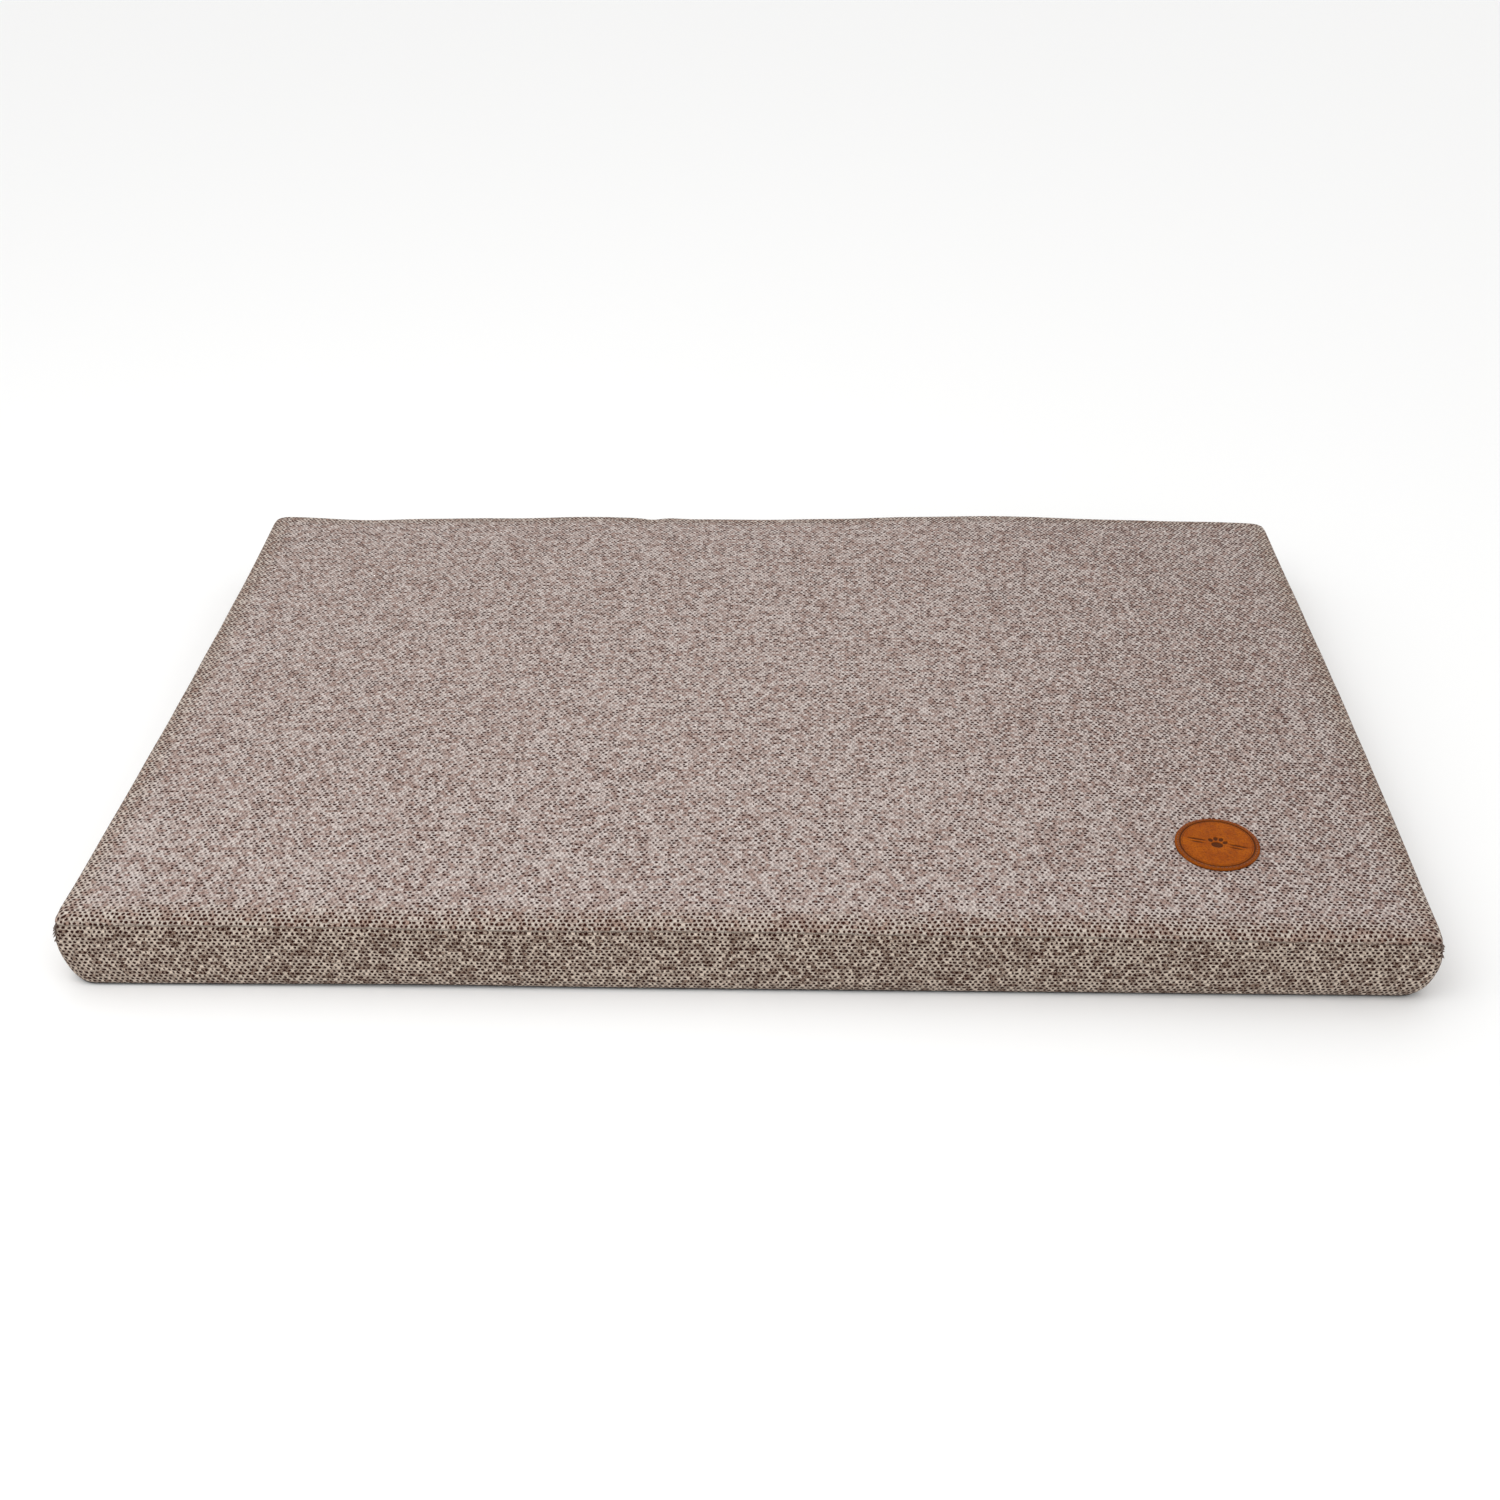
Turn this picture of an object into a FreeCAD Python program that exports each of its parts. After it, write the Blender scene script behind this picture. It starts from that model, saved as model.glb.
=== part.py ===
import FreeCAD, Part
import os

import Sketcher
from FreeCAD import Rotation, Vector

# Pet cushion bed: a boxed foam cushion in a removable woven cover with a zip in its back wall.
# Origin: centre of the base on the floor. +X along the long side, +Y to the zipped back wall, +Z up.

SIZES = [
    # cushion outline
    ("cushion_width", 900.0),
    ("cushion_depth", 600.0),
    ("rim_height", 54.5),
    ("crown_rise", 5.0),
    ("panel_corner_radius", 10.0),
    ("band_corner_radius", 24.0),
    ("base_corner_radius", 30.0),
    ("seam_overhang", 1.0),
    ("base_inset", 3.0),
    # thicknesses of the layers
    ("weave_thickness", 1.2),
    ("base_thickness", 1.0),
    ("liner_thickness", 0.4),
    ("foam_height", 46.5),
    ("seam_thread", 0.6),
    # back wall and zip
    ("fill_back_gap", 8.3),
    ("zip_panel_width", 840.0),
    ("zip_height", 27.0),
    ("chain_inset", 5.8),
    ("zip_opening", 15.0),
    ("tape_thickness", 0.6),
    ("tape_width", 12.8),
    ("coil_gap", 0.6),
    ("coil_width", 2.6),
    ("coil_thickness", 2.2),
    ("coil_length", 790.0),
    ("stop_length", 3.0),
    ("stitch_thread", 0.5),
    ("stitch_offset", 2.5),
    # slider and pull
    ("slider_rest_x", 385.0),
    ("slider_length", 13.0),
    ("slider_shoulder", 11.0),
    ("slider_tail", 9.0),
    ("slider_nose", 6.0),
    ("plate_thickness", 1.3),
    ("channel_height", 2.8),
    ("channel_width", 7.0),
    ("slot_height", 1.4),
    ("slider_corner_radius", 1.3),
    ("web_thickness", 0.6),
    ("web_length", 2.4),
    ("bridge_length", 6.0),
    ("bridge_width", 2.6),
    ("bridge_post", 0.9),
    ("bridge_room", 2.0),
    ("bridge_round", 0.8),
    ("pull_length", 27.0),
    ("pull_neck", 6.2),
    ("pull_grip", 7.6),
    ("pull_thickness", 1.3),
    ("pull_slot_length", 3.5),
    ("pull_slot_width", 3.4),
    # badge
    ("badge_x", 321.0),
    ("badge_y", -205.0),
    ("badge_length", 60.6),
    ("badge_width", 56.6),
    ("badge_turn", 68.0),
    ("badge_thickness", 1.8),
    ("badge_stitch_inset", 2.4),
    ("badge_thread", 0.6),
]

doc = FreeCAD.newDocument("pet_cushion_bed")
sheet = doc.addObject("Spreadsheet::Sheet", "Sizes")
for row, (alias, value) in enumerate(SIZES, start=1):
    sheet.set("A%d" % row, alias)
    sheet.set("B%d" % row, str(value))
    sheet.setAlias("B%d" % row, alias)
doc.recompute()

PARTS = []


def size(alias):
    """The value of one cell, for the shapes that Part's functions make."""
    return float(sheet.get(alias))


def named(expression):
    """An expression on the sheet's cells: every known alias gets the sheet's name in front."""
    words = expression.replace("(", " ( ").replace(")", " ) ").split()
    aliases = dict(SIZES)
    return " ".join("Sizes." + word if word in aliases else word for word in words)


def bind(thing, prop, expression):
    thing.setExpression(prop, named(expression))


# ---------------------------------------------------------------- helpers for PartDesign pieces


def new_body(label):
    body = doc.addObject("PartDesign::Body", label)
    body.Label = label
    PARTS.append(body)
    return body


def new_sketch(body, role, name, shift=("0", "0", "0")):
    """A sketch on one of the body's own origin planes, moved by three expressions."""
    sketch = body.newObject("Sketcher::SketchObject", body.Label + "_" + name)
    plane = [item for item in body.Origin.OriginFeatures if item.Role == role][0]
    sketch.AttachmentSupport = [(plane, "")]
    sketch.MapMode = "FlatFace"
    for axis, expression in zip("xyz", shift):
        bind(sketch, "AttachmentOffset.Base." + axis, expression)
    return sketch


def constrain(sketch, name, expression, *what):
    """A named dimension of the sketch, bound to the sheet."""
    index = sketch.addConstraint(Sketcher.Constraint(*what))
    sketch.renameConstraint(index, name)
    bind(sketch, "Constraints." + name, expression)


def draw_rectangle(sketch, width, height):
    """A rectangle centred on the sketch's origin."""
    corners = [Vector(-10, -5), Vector(10, -5), Vector(10, 5), Vector(-10, 5)]
    for index in range(4):
        sketch.addGeometry(Part.LineSegment(corners[index], corners[(index + 1) % 4]), False)
    for index in range(4):
        sketch.addConstraint(Sketcher.Constraint("Coincident", index, 2, (index + 1) % 4, 1))
    for index in (0, 2):
        sketch.addConstraint(Sketcher.Constraint("Horizontal", index))
        sketch.addConstraint(Sketcher.Constraint("Vertical", index + 1))
    sketch.addConstraint(Sketcher.Constraint("Symmetric", 0, 1, 2, 1, -1, 1))
    constrain(sketch, "width", width, "DistanceX", 0, 1, 0, 2, 20.0)
    constrain(sketch, "height", height, "DistanceY", 1, 1, 1, 2, 10.0)


def draw_stations(sketch, stations):
    """A closed outline mirrored in the sketch's x axis: each station is (x, half width)."""
    guess = [(value_of(x), value_of(half)) for x, half in stations]
    upper = [Vector(x, half) for x, half in guess]
    lower = [Vector(x, -half) for x, half in guess]
    loop = upper + lower[::-1]
    total = len(loop)
    for index in range(total):
        sketch.addGeometry(Part.LineSegment(loop[index], loop[(index + 1) % total]), False)
    for index in range(total):
        sketch.addConstraint(Sketcher.Constraint("Coincident", index, 2, (index + 1) % total, 1))
    for index, (x, half) in enumerate(stations):
        mirror = total - 1 - index
        sketch.addConstraint(Sketcher.Constraint("Symmetric", index, 1, mirror, 1, -1))
        x_value, half_value = guess[index]
        name = "station%d" % index
        constrain(sketch, name, x, "DistanceX", -1, 1, index, 1, x_value)
        constrain(sketch, name + "_half", half, "DistanceY", -1, 1, index, 1, half_value)


def value_of(expression):
    """The number that an expression comes to, where it is a sum of cells times plain factors."""
    total = 0.0
    for term in expression.replace("- ", "+ -").split("+"):
        product = 1.0
        for factor in term.split("*"):
            factor = factor.strip()
            if factor.startswith("-"):
                product = -product
                factor = factor[1:]
            product *= size(factor) if factor in dict(SIZES) else float(factor)
        total += product
    return total


def add_feature(body, kind, name, sketch, length, symmetric=False, reverse=False):
    """A Pad or Pocket of a sketch by a bound length."""
    feature = body.newObject("PartDesign::" + kind, body.Label + "_" + name)
    feature.Profile = sketch
    feature.Type = "Length"
    bind(feature, "Length", length)
    if symmetric:
        feature.SideType = "Symmetric"
    feature.Reversed = reverse
    sketch.Visibility = False
    doc.recompute()
    return feature


def round_edges(body, name, feature, radius, wanted):
    """A fillet on the edges of the feature that the test picks."""
    edges = ["Edge%d" % (number + 1) for number, edge in enumerate(feature.Shape.Edges) if wanted(edge)]
    fillet = body.newObject("PartDesign::Fillet", body.Label + "_" + name)
    fillet.Base = (feature, edges)
    bind(fillet, "Radius", radius)
    doc.recompute()
    return fillet


def runs_along(edge, axis):
    """True for a straight edge along the axis."""
    if not isinstance(edge.Curve, Part.Line):
        return False
    return abs(abs(edge.Curve.Direction.dot(axis)) - 1.0) < 1e-6


Y_AXIS = Vector(0, 1, 0)
Z_AXIS = Vector(0, 0, 1)


def flat_slab(label, width, depth, low, height, radius=None, shift_y="0"):
    """A level slab with upright corners rounded, its underside at the given height."""
    body = new_body(label)
    sketch = new_sketch(body, "XY_Plane", "outline", ("0", shift_y, low))
    draw_rectangle(sketch, width, depth)
    pad = add_feature(body, "Pad", "pad", sketch, height)
    if radius:
        round_edges(body, "corners", pad, radius, lambda edge: runs_along(edge, Z_AXIS))
    return body


def hollow_ring(label, width, depth, low, height, wall, radius):
    """An upright rectangular ring with rounded corners: a slab less its inside, both rounded after."""
    body = new_body(label)
    outline = new_sketch(body, "XY_Plane", "outline", ("0", "0", low))
    draw_rectangle(outline, width, depth)
    pad = add_feature(body, "Pad", "pad", outline, height)
    inside = new_sketch(body, "XY_Plane", "inside", ("0", "0", low))
    draw_rectangle(inside, "%s - 2 * %s" % (width, wall), "%s - 2 * %s" % (depth, wall))
    pocket = add_feature(body, "Pocket", "hollow", inside, height, reverse=True)
    assert pocket.Shape.Volume < 0.1 * pad.Shape.Volume, label
    reach = value_of(width) / 2 - 0.5 * value_of(wall)
    inner = round_edges(body, "inner_corners", pocket, "%s - %s" % (radius, wall),
                        lambda edge: runs_along(edge, Z_AXIS) and abs(edge.BoundBox.XMin) < reach)
    round_edges(body, "corners", inner, radius,
                lambda edge: runs_along(edge, Z_AXIS) and abs(edge.BoundBox.XMin) > reach)
    return body


def back_bar(label, width, low, height, outer_inset, thickness):
    """A long bar on the back wall: low edge, height, and depth of its outer face from the rim."""
    body = new_body(label)
    middle = "%s + 0.5 * ( %s )" % (low, height)
    outer = "%s - 0.5 * cushion_depth" % outer_inset
    sketch = new_sketch(body, "XZ_Plane", "outline", ("0", middle, outer))
    draw_rectangle(sketch, width, height)
    add_feature(body, "Pad", "pad", sketch, thickness)
    return body


# ---------------------------------------------------------------- crowned layers


def crown_face(rim):
    """The crown as a face: rim + rise * (1 - u^4) * (1 - v^4), with u and v from -1 to 1 over the plan."""
    half_width = size("cushion_width") / 2
    half_depth = size("cushion_depth") / 2
    rise = size("crown_rise")
    steps = 12
    reach = 1.02
    grid = []
    for i in range(steps + 1):
        u = reach * (2.0 * i / steps - 1.0)
        line = []
        for j in range(steps + 1):
            v = reach * (2.0 * j / steps - 1.0)
            lift = rise * (1 - u ** 4) * (1 - v ** 4)
            line.append(Vector(u * half_width, v * half_depth, rim + lift))
        grid.append(line)
    surface = Part.BSplineSurface()
    surface.interpolate(grid)
    return surface.toShape()


def upright_prism(half_width, back, front, low, high, radius):
    """An upright block with rounded corners between two heights."""
    block = Part.makeBox(2 * half_width, back - front, high - low, Vector(-half_width, front, low))
    uprights = [edge for edge in block.Edges if runs_along(edge, Z_AXIS)]
    return block.makeFillet(radius, uprights)


def crowned_block(half_width, back, front, low, rim, radius):
    """A block with a flat underside and the crown as its upper face."""
    room = size("crown_rise") + 1.0
    below = crown_face(rim).extrude(Vector(0, 0, low - rim - 2 * room))
    return below.common(upright_prism(half_width, back, front, low, rim + room, radius))


def solid_part(label, shape, lift=0.0):
    """A Part::Feature made of one solid, lifted to its height by its Placement."""
    feature = doc.addObject("Part::Feature", label)
    feature.Label = label
    solids = shape.Solids
    feature.Shape = solids[0] if len(solids) == 1 else Part.makeCompound(solids)
    feature.Placement.Base = Vector(0, 0, lift)
    PARTS.append(feature)
    return feature


# plan of the fill, inside the band and in front of the zip
band_half_width = size("cushion_width") / 2 - size("seam_overhang")
band_front = size("seam_overhang") - size("cushion_depth") / 2
liner_half_width = band_half_width - size("weave_thickness")
liner_front = band_front + size("weave_thickness")
liner_back = size("cushion_depth") / 2 - size("fill_back_gap") - size("liner_thickness")
liner_radius = size("band_corner_radius") - size("weave_thickness")
fill_half_width = liner_half_width - size("liner_thickness")
fill_front = liner_front + size("liner_thickness")
fill_back = liner_back - size("liner_thickness")
fill_radius = liner_radius - size("liner_thickness")

# heights of the layers, floor upwards
foam_low = size("base_thickness") + size("liner_thickness")
foam_high = foam_low + size("foam_height")
panel_rim = size("rim_height") - size("weave_thickness")
wadding_rim = panel_rim - size("liner_thickness")
liner_seam = foam_low + size("foam_height") / 2


def make_foam_core():
    flat_slab("foam_core", "cushion_width - 2 * seam_overhang - 2 * weave_thickness - 2 * liner_thickness",
              "cushion_depth - fill_back_gap - seam_overhang - weave_thickness - 3 * liner_thickness",
              "base_thickness + liner_thickness", "foam_height",
              "band_corner_radius - weave_thickness - liner_thickness",
              "0.5 * seam_overhang + 0.5 * weave_thickness - 0.5 * liner_thickness - 0.5 * fill_back_gap")


def make_fibre_wadding():
    low = foam_high - wadding_rim
    shape = crowned_block(fill_half_width, fill_back, fill_front, low, 0.0, fill_radius)
    solid_part("fibre_wadding", shape, wadding_rim)


def make_inner_liner():
    """The upper half has the crown and the upper walls; the lower half is a shallow tray."""
    low = liner_seam - panel_rim
    outside = crowned_block(liner_half_width, liner_back, liner_front, low, 0.0, liner_radius)
    inside = crowned_block(fill_half_width, fill_back, fill_front, low - 1.0,
                           -size("liner_thickness"), fill_radius)
    solid_part("inner_liner_upper", outside.cut(inside), panel_rim)
    tray = upright_prism(liner_half_width, liner_back, liner_front, 0.0,
                         liner_seam - size("base_thickness"), liner_radius)
    room = upright_prism(fill_half_width, fill_back, fill_front, size("liner_thickness"),
                         size("rim_height"), fill_radius)
    solid_part("inner_liner_lower", tray.cut(room), size("base_thickness"))


def make_top_panel():
    sheet_solid = crown_face(0.0).extrude(Vector(0, 0, -size("weave_thickness")))
    half_width = size("cushion_width") / 2
    half_depth = size("cushion_depth") / 2
    reach = size("crown_rise") + size("weave_thickness")
    prism = upright_prism(half_width, half_depth, -half_depth, -2 * reach, 2 * reach,
                          size("panel_corner_radius"))
    solid_part("top_panel", sheet_solid.common(prism), size("rim_height"))


def make_side_band():
    """The boxing strip: a ring round the fill, cut open along the back for the zip panel."""
    body = hollow_ring("side_band", "cushion_width - 2 * seam_overhang", "cushion_depth - 2 * seam_overhang",
                       "base_thickness", "rim_height - base_thickness - weave_thickness",
                       "weave_thickness", "band_corner_radius")
    opening = new_sketch(body, "XZ_Plane", "opening", ("0", "0.5 * rim_height", "-0.5 * cushion_depth"))
    draw_rectangle(opening, "zip_panel_width", "2 * rim_height")
    before = body.Shape.Volume
    add_feature(body, "Pocket", "cut_back", opening, "band_corner_radius", reverse=True)
    assert body.Shape.Volume < 0.9 * before


def make_base_panel():
    flat_slab("base_panel", "cushion_width - 2 * base_inset", "cushion_depth - 2 * base_inset",
              "0", "base_thickness", "base_corner_radius")


def make_seams():
    """Thread lines as thin rings: under the top panel's edge, and round the base panel."""
    hollow_ring("top_seam", "cushion_width - 2 * seam_overhang + 2 * seam_thread",
                "cushion_depth - 2 * seam_overhang + 2 * seam_thread",
                "rim_height - weave_thickness - seam_thread", "seam_thread", "seam_thread",
                "band_corner_radius + seam_thread")
    hollow_ring("base_seam", "cushion_width - 2 * base_inset + 2 * seam_thread",
                "cushion_depth - 2 * base_inset + 2 * seam_thread",
                "base_thickness - seam_thread", "seam_thread", "seam_thread",
                "base_corner_radius + seam_thread")


# ---------------------------------------------------------------- back wall and zip

STRIP_INSET = "chain_inset - 0.5 * tape_thickness - weave_thickness"


def make_back_strips():
    band_height = "rim_height - base_thickness - weave_thickness"
    lower_height = "zip_height - 0.5 * zip_opening - base_thickness"
    upper_low = "zip_height + 0.5 * zip_opening"
    upper_height = "rim_height - weave_thickness - zip_height - 0.5 * zip_opening"
    assert value_of(lower_height) + value_of(upper_height) < value_of(band_height)
    back_bar("back_strip_upper", "zip_panel_width", upper_low, upper_height, STRIP_INSET, "weave_thickness")
    back_bar("back_strip_lower", "zip_panel_width", "base_thickness", lower_height,
             STRIP_INSET, "weave_thickness")


def make_zip_tapes_and_coils():
    tape_inset = "chain_inset - 0.5 * tape_thickness"
    coil_inset = "chain_inset - 0.5 * coil_thickness"
    coil_edge = "coil_gap + coil_width"
    back_bar("zip_tape_upper", "zip_panel_width", "zip_height + " + coil_edge, "tape_width",
             tape_inset, "tape_thickness")
    back_bar("zip_tape_lower", "zip_panel_width", "zip_height - coil_gap - coil_width - tape_width",
             "tape_width", tape_inset, "tape_thickness")
    back_bar("zip_coil_upper", "coil_length", "zip_height + coil_gap", "coil_width",
             coil_inset, "coil_thickness")
    back_bar("zip_coil_lower", "coil_length", "zip_height - coil_gap - coil_width", "coil_width",
             coil_inset, "coil_thickness")


def make_box(name, corner, extents):
    """A Part::Box whose corner and sides are bound to the sheet."""
    box = doc.addObject("Part::Box", name)
    for prop, expression in zip(("Length", "Width", "Height"), extents):
        bind(box, prop, expression)
    for axis, expression in zip("xyz", corner):
        bind(box, "Placement.Base." + axis, expression)
    return box


def group(label, members):
    """One node that holds several separate solids."""
    compound = doc.addObject("Part::Compound", label)
    compound.Label = label
    compound.Links = members
    PARTS.append(compound)


def make_zip_stops():
    inner_y = "0.5 * cushion_depth - chain_inset - 0.5 * coil_thickness"
    sides = ("stop_length", "coil_thickness", "coil_width")
    upper = make_box("top_stop_upper", ("0.5 * coil_length", inner_y, "zip_height + coil_gap"), sides)
    lower = make_box("top_stop_lower",
                     ("0.5 * coil_length", inner_y, "zip_height - coil_gap - coil_width"), sides)
    group("zip_top_stops", [upper, lower])
    bottom = make_box("zip_bottom_stop",
                      ("-0.5 * coil_length - stop_length", inner_y, "zip_height - coil_gap - coil_width"),
                      ("stop_length", "coil_thickness", "2 * coil_gap + 2 * coil_width"))
    PARTS.append(bottom)


def thread_line(label, height):
    """A stitched row along a strip's folded edge, as one thin round bar between the end seams."""
    bar = doc.addObject("Part::Cylinder", label)
    bar.Label = label
    bind(bar, "Radius", "0.5 * stitch_thread")
    bind(bar, "Height", "zip_panel_width - 4 * seam_thread")
    bar.Placement.Rotation = Rotation(Y_AXIS, 90)
    bind(bar, "Placement.Base.x", "-0.5 * zip_panel_width + 2 * seam_thread")
    bind(bar, "Placement.Base.y", "0.5 * cushion_depth - %s + 0.5 * stitch_thread"
         % STRIP_INSET.replace("-", "+"))
    bind(bar, "Placement.Base.z", height)
    PARTS.append(bar)


def make_zip_stitching():
    thread_line("zip_stitching_upper", "zip_height + 0.5 * zip_opening + stitch_offset")
    thread_line("zip_stitching_lower", "zip_height - 0.5 * zip_opening - stitch_offset")


def make_band_end_seams():
    """Upright thread lines where the ends of the boxing strip are sewn to the zip panel."""
    y_face = "0.5 * cushion_depth - chain_inset + 0.5 * tape_thickness + weave_thickness"
    sides = ("seam_thread", "seam_thread", "zip_height - 0.5 * zip_opening - base_thickness")
    tall = ("seam_thread", "seam_thread", "rim_height - weave_thickness - zip_height - 0.5 * zip_opening")
    members = []
    for name, x in (("left", "-0.5 * zip_panel_width"), ("right", "0.5 * zip_panel_width - seam_thread")):
        members.append(make_box("end_seam_low_" + name, (x, y_face, "base_thickness"), sides))
        members.append(make_box("end_seam_high_" + name,
                                (x, y_face, "zip_height + 0.5 * zip_opening"), tall))
    group("band_end_seams", members)


def make_zip_slider():
    """Two plates round the coils, joined by a thin web that runs in the gap between them, with a bridge."""
    body = new_body("zip_slider")
    outer_face = "-0.5 * channel_height - plate_thickness"
    outline = new_sketch(body, "XZ_Plane", "outline", ("0", "0", outer_face))
    draw_stations(outline, [
        ("-0.5 * slider_length", "0.5 * slider_tail"),
        ("0.12 * slider_length", "0.5 * slider_shoulder"),
        ("0.34 * slider_length", "0.5 * slider_shoulder"),
        ("0.5 * slider_length", "0.5 * slider_nose"),
    ])
    block = add_feature(body, "Pad", "block", outline, "channel_height + 2 * plate_thickness")
    round_edges(body, "sides", block, "slider_corner_radius", lambda edge: runs_along(edge, Y_AXIS))
    cut_channel(body)
    add_web(body)
    cut_side_slots(body)
    add_bridge(body)
    place_on_zip(body)


def cut_channel(body):
    """The tunnel for the coils, right through along X."""
    channel = new_sketch(body, "YZ_Plane", "channel")
    draw_rectangle(channel, "channel_height", "channel_width")
    before = body.Shape.Volume
    add_feature(body, "Pocket", "channel_cut", channel, "2 * slider_length", symmetric=True)
    assert body.Shape.Volume < 0.8 * before


def add_web(body):
    """The thin wall between the two plates."""
    middle_of_plate = "-0.5 * channel_height - 0.5 * plate_thickness"
    web = new_sketch(body, "XZ_Plane", "web", ("0", "0", middle_of_plate))
    draw_rectangle(web, "web_length", "web_thickness")
    add_feature(body, "Pad", "web_pad", web, "channel_height + plate_thickness")


def cut_side_slots(body):
    """The slots that the tapes run in, one each side of the web."""
    for name, side in (("upper", "0.5 *"), ("lower", "-0.5 *")):
        middle = "%s web_thickness + %s slider_shoulder" % (side, side)
        slot = new_sketch(body, "YZ_Plane", "slot_" + name, ("0", middle, "0"))
        draw_rectangle(slot, "slot_height", "slider_shoulder")
        before = body.Shape.Volume
        add_feature(body, "Pocket", "slot_cut_" + name, slot, "2 * slider_length", symmetric=True)
        assert body.Shape.Volume < before


def add_bridge(body):
    """The arch on the outer plate that holds the pull's bar."""
    top = "-0.5 * channel_height - plate_thickness - bridge_room - bridge_post"
    bridge = new_sketch(body, "XZ_Plane", "bridge", ("0", "0", top))
    draw_rectangle(bridge, "bridge_length", "bridge_width")
    pad = add_feature(body, "Pad", "bridge_pad", bridge,
                      "bridge_room + bridge_post + 0.5 * plate_thickness")
    top_y = -value_of(top)
    round_edges(body, "bridge_shoulders", pad, "bridge_round",
                lambda edge: runs_along(edge, Z_AXIS) and edge.BoundBox.YMin > top_y - 1e-3)
    window = new_sketch(body, "XY_Plane", "window",
                        ("0", "0.5 * channel_height + plate_thickness + 0.5 * bridge_room", "0"))
    draw_rectangle(window, "bridge_length - 2 * bridge_post", "bridge_room")
    before = body.Shape.Volume
    add_feature(body, "Pocket", "bridge_window", window, "2 * bridge_width", symmetric=True)
    assert body.Shape.Volume < before


def place_on_zip(body):
    """The slider's and pull's own origin is the centre of the zip chain at the slider's rest place."""
    bind(body, "Placement.Base.x", "slider_rest_x")
    bind(body, "Placement.Base.y", "0.5 * cushion_depth - chain_inset")
    bind(body, "Placement.Base.z", "zip_height")


def make_zip_pull():
    """A flat tab with a slot for the bridge; its short end is the round bar that it swings on."""
    body = new_body("zip_pull")
    axis_depth = "0.5 * channel_height + plate_thickness + 0.5 * bridge_room"
    outline = new_sketch(body, "XZ_Plane", "outline",
                         ("0", "0", "-1 * ( %s ) - 0.5 * pull_thickness" % axis_depth))
    draw_stations(outline, [
        ("-1 * pull_length", "0.35 * pull_grip"),
        ("-0.94 * pull_length", "0.5 * pull_grip"),
        ("-0.62 * pull_length", "0.5 * pull_grip"),
        ("-0.36 * pull_length", "0.5 * pull_neck"),
        ("0.5 * pull_thickness", "0.5 * pull_neck"),
    ])
    add_feature(body, "Pad", "tab", outline, "pull_thickness")
    slot = new_sketch(body, "XZ_Plane", "slot",
                      ("-0.5 * pull_thickness - 0.5 * pull_slot_length", "0",
                       "-1 * ( %s ) - pull_thickness" % axis_depth))
    draw_rectangle(slot, "pull_slot_length", "pull_slot_width")
    before = body.Shape.Volume
    pocket = add_feature(body, "Pocket", "slot_cut", slot, "2 * pull_thickness", reverse=True)
    assert pocket.Shape.Volume < 0.99 * before
    bar_half = size("pull_thickness") / 2

    def is_bar_edge(edge):
        return runs_along(edge, Z_AXIS) and abs(abs(edge.BoundBox.XMin) - bar_half) < 1e-3

    round_edges(body, "bar", pocket, "0.48 * pull_thickness", is_bar_edge)
    place_on_zip(body)


# ---------------------------------------------------------------- badge


def badge_prism(inset, low, high):
    """An upright elliptical block at the badge's place, its edge drawn in by the inset."""
    major = size("badge_length") / 2 - inset
    minor = size("badge_width") / 2 - inset
    ellipse = Part.Ellipse(Vector(0, 0, 0), major, minor)
    face = Part.Face(Part.Wire([ellipse.toShape()]))
    prism = face.extrude(Vector(0, 0, high - low))
    prism.rotate(Vector(0, 0, 0), Z_AXIS, size("badge_turn"))
    prism.translate(Vector(size("badge_x"), size("badge_y"), low))
    return prism


def on_the_panel(thickness, above):
    """A sheet of the given thickness that follows the crown, its underside this far above the panel."""
    return crown_face(above).extrude(Vector(0, 0, thickness))


def make_badge():
    thickness = size("badge_thickness")
    thread = size("badge_thread")
    high = size("crown_rise") + thickness + 2 * thread
    low = -thickness
    leather = on_the_panel(thickness, 0.0).common(badge_prism(0.0, low, high))
    solid_part("leather_badge", leather, size("rim_height"))
    inset = size("badge_stitch_inset")
    ring = badge_prism(inset, low, high).cut(badge_prism(inset + thread, low - 1.0, high + 1.0))
    stitches = on_the_panel(0.5 * thread, thickness).common(ring)
    solid_part("badge_stitching", stitches, size("rim_height"))


# ---------------------------------------------------------------- build, check and write


def check_model():
    """Every object must have computed, and every sub-part must be a closed, valid shape."""
    doc.recompute()
    for thing in doc.Objects:
        assert "Invalid" not in thing.State and "Error" not in thing.State, thing.Label
    for part in PARTS:
        assert not part.Shape.isNull() and part.Shape.isValid(), part.Label
        assert part.Shape.Solids and part.Shape.Volume > 0, part.Label


def write_parts():
    os.makedirs("parts", exist_ok=True)
    for part in PARTS:
        part.Shape.exportStep("parts/%s.step" % part.Label)
        box = part.Shape.BoundBox
        print("%-22s solids %d  volume %11.1f  x %8.2f %8.2f  y %8.2f %8.2f  z %7.2f %7.2f"
              % (part.Label, len(part.Shape.Solids), part.Shape.Volume,
                 box.XMin, box.XMax, box.YMin, box.YMax, box.ZMin, box.ZMax))


make_foam_core()
make_fibre_wadding()
make_inner_liner()
make_top_panel()
make_side_band()
make_base_panel()
make_seams()
make_back_strips()
make_zip_tapes_and_coils()
make_zip_stops()
make_zip_stitching()
make_band_end_seams()
make_zip_slider()
make_zip_pull()
make_badge()
check_model()
write_parts()
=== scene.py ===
import math

import bpy
import numpy as np
from mathutils import Matrix, Vector


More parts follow.
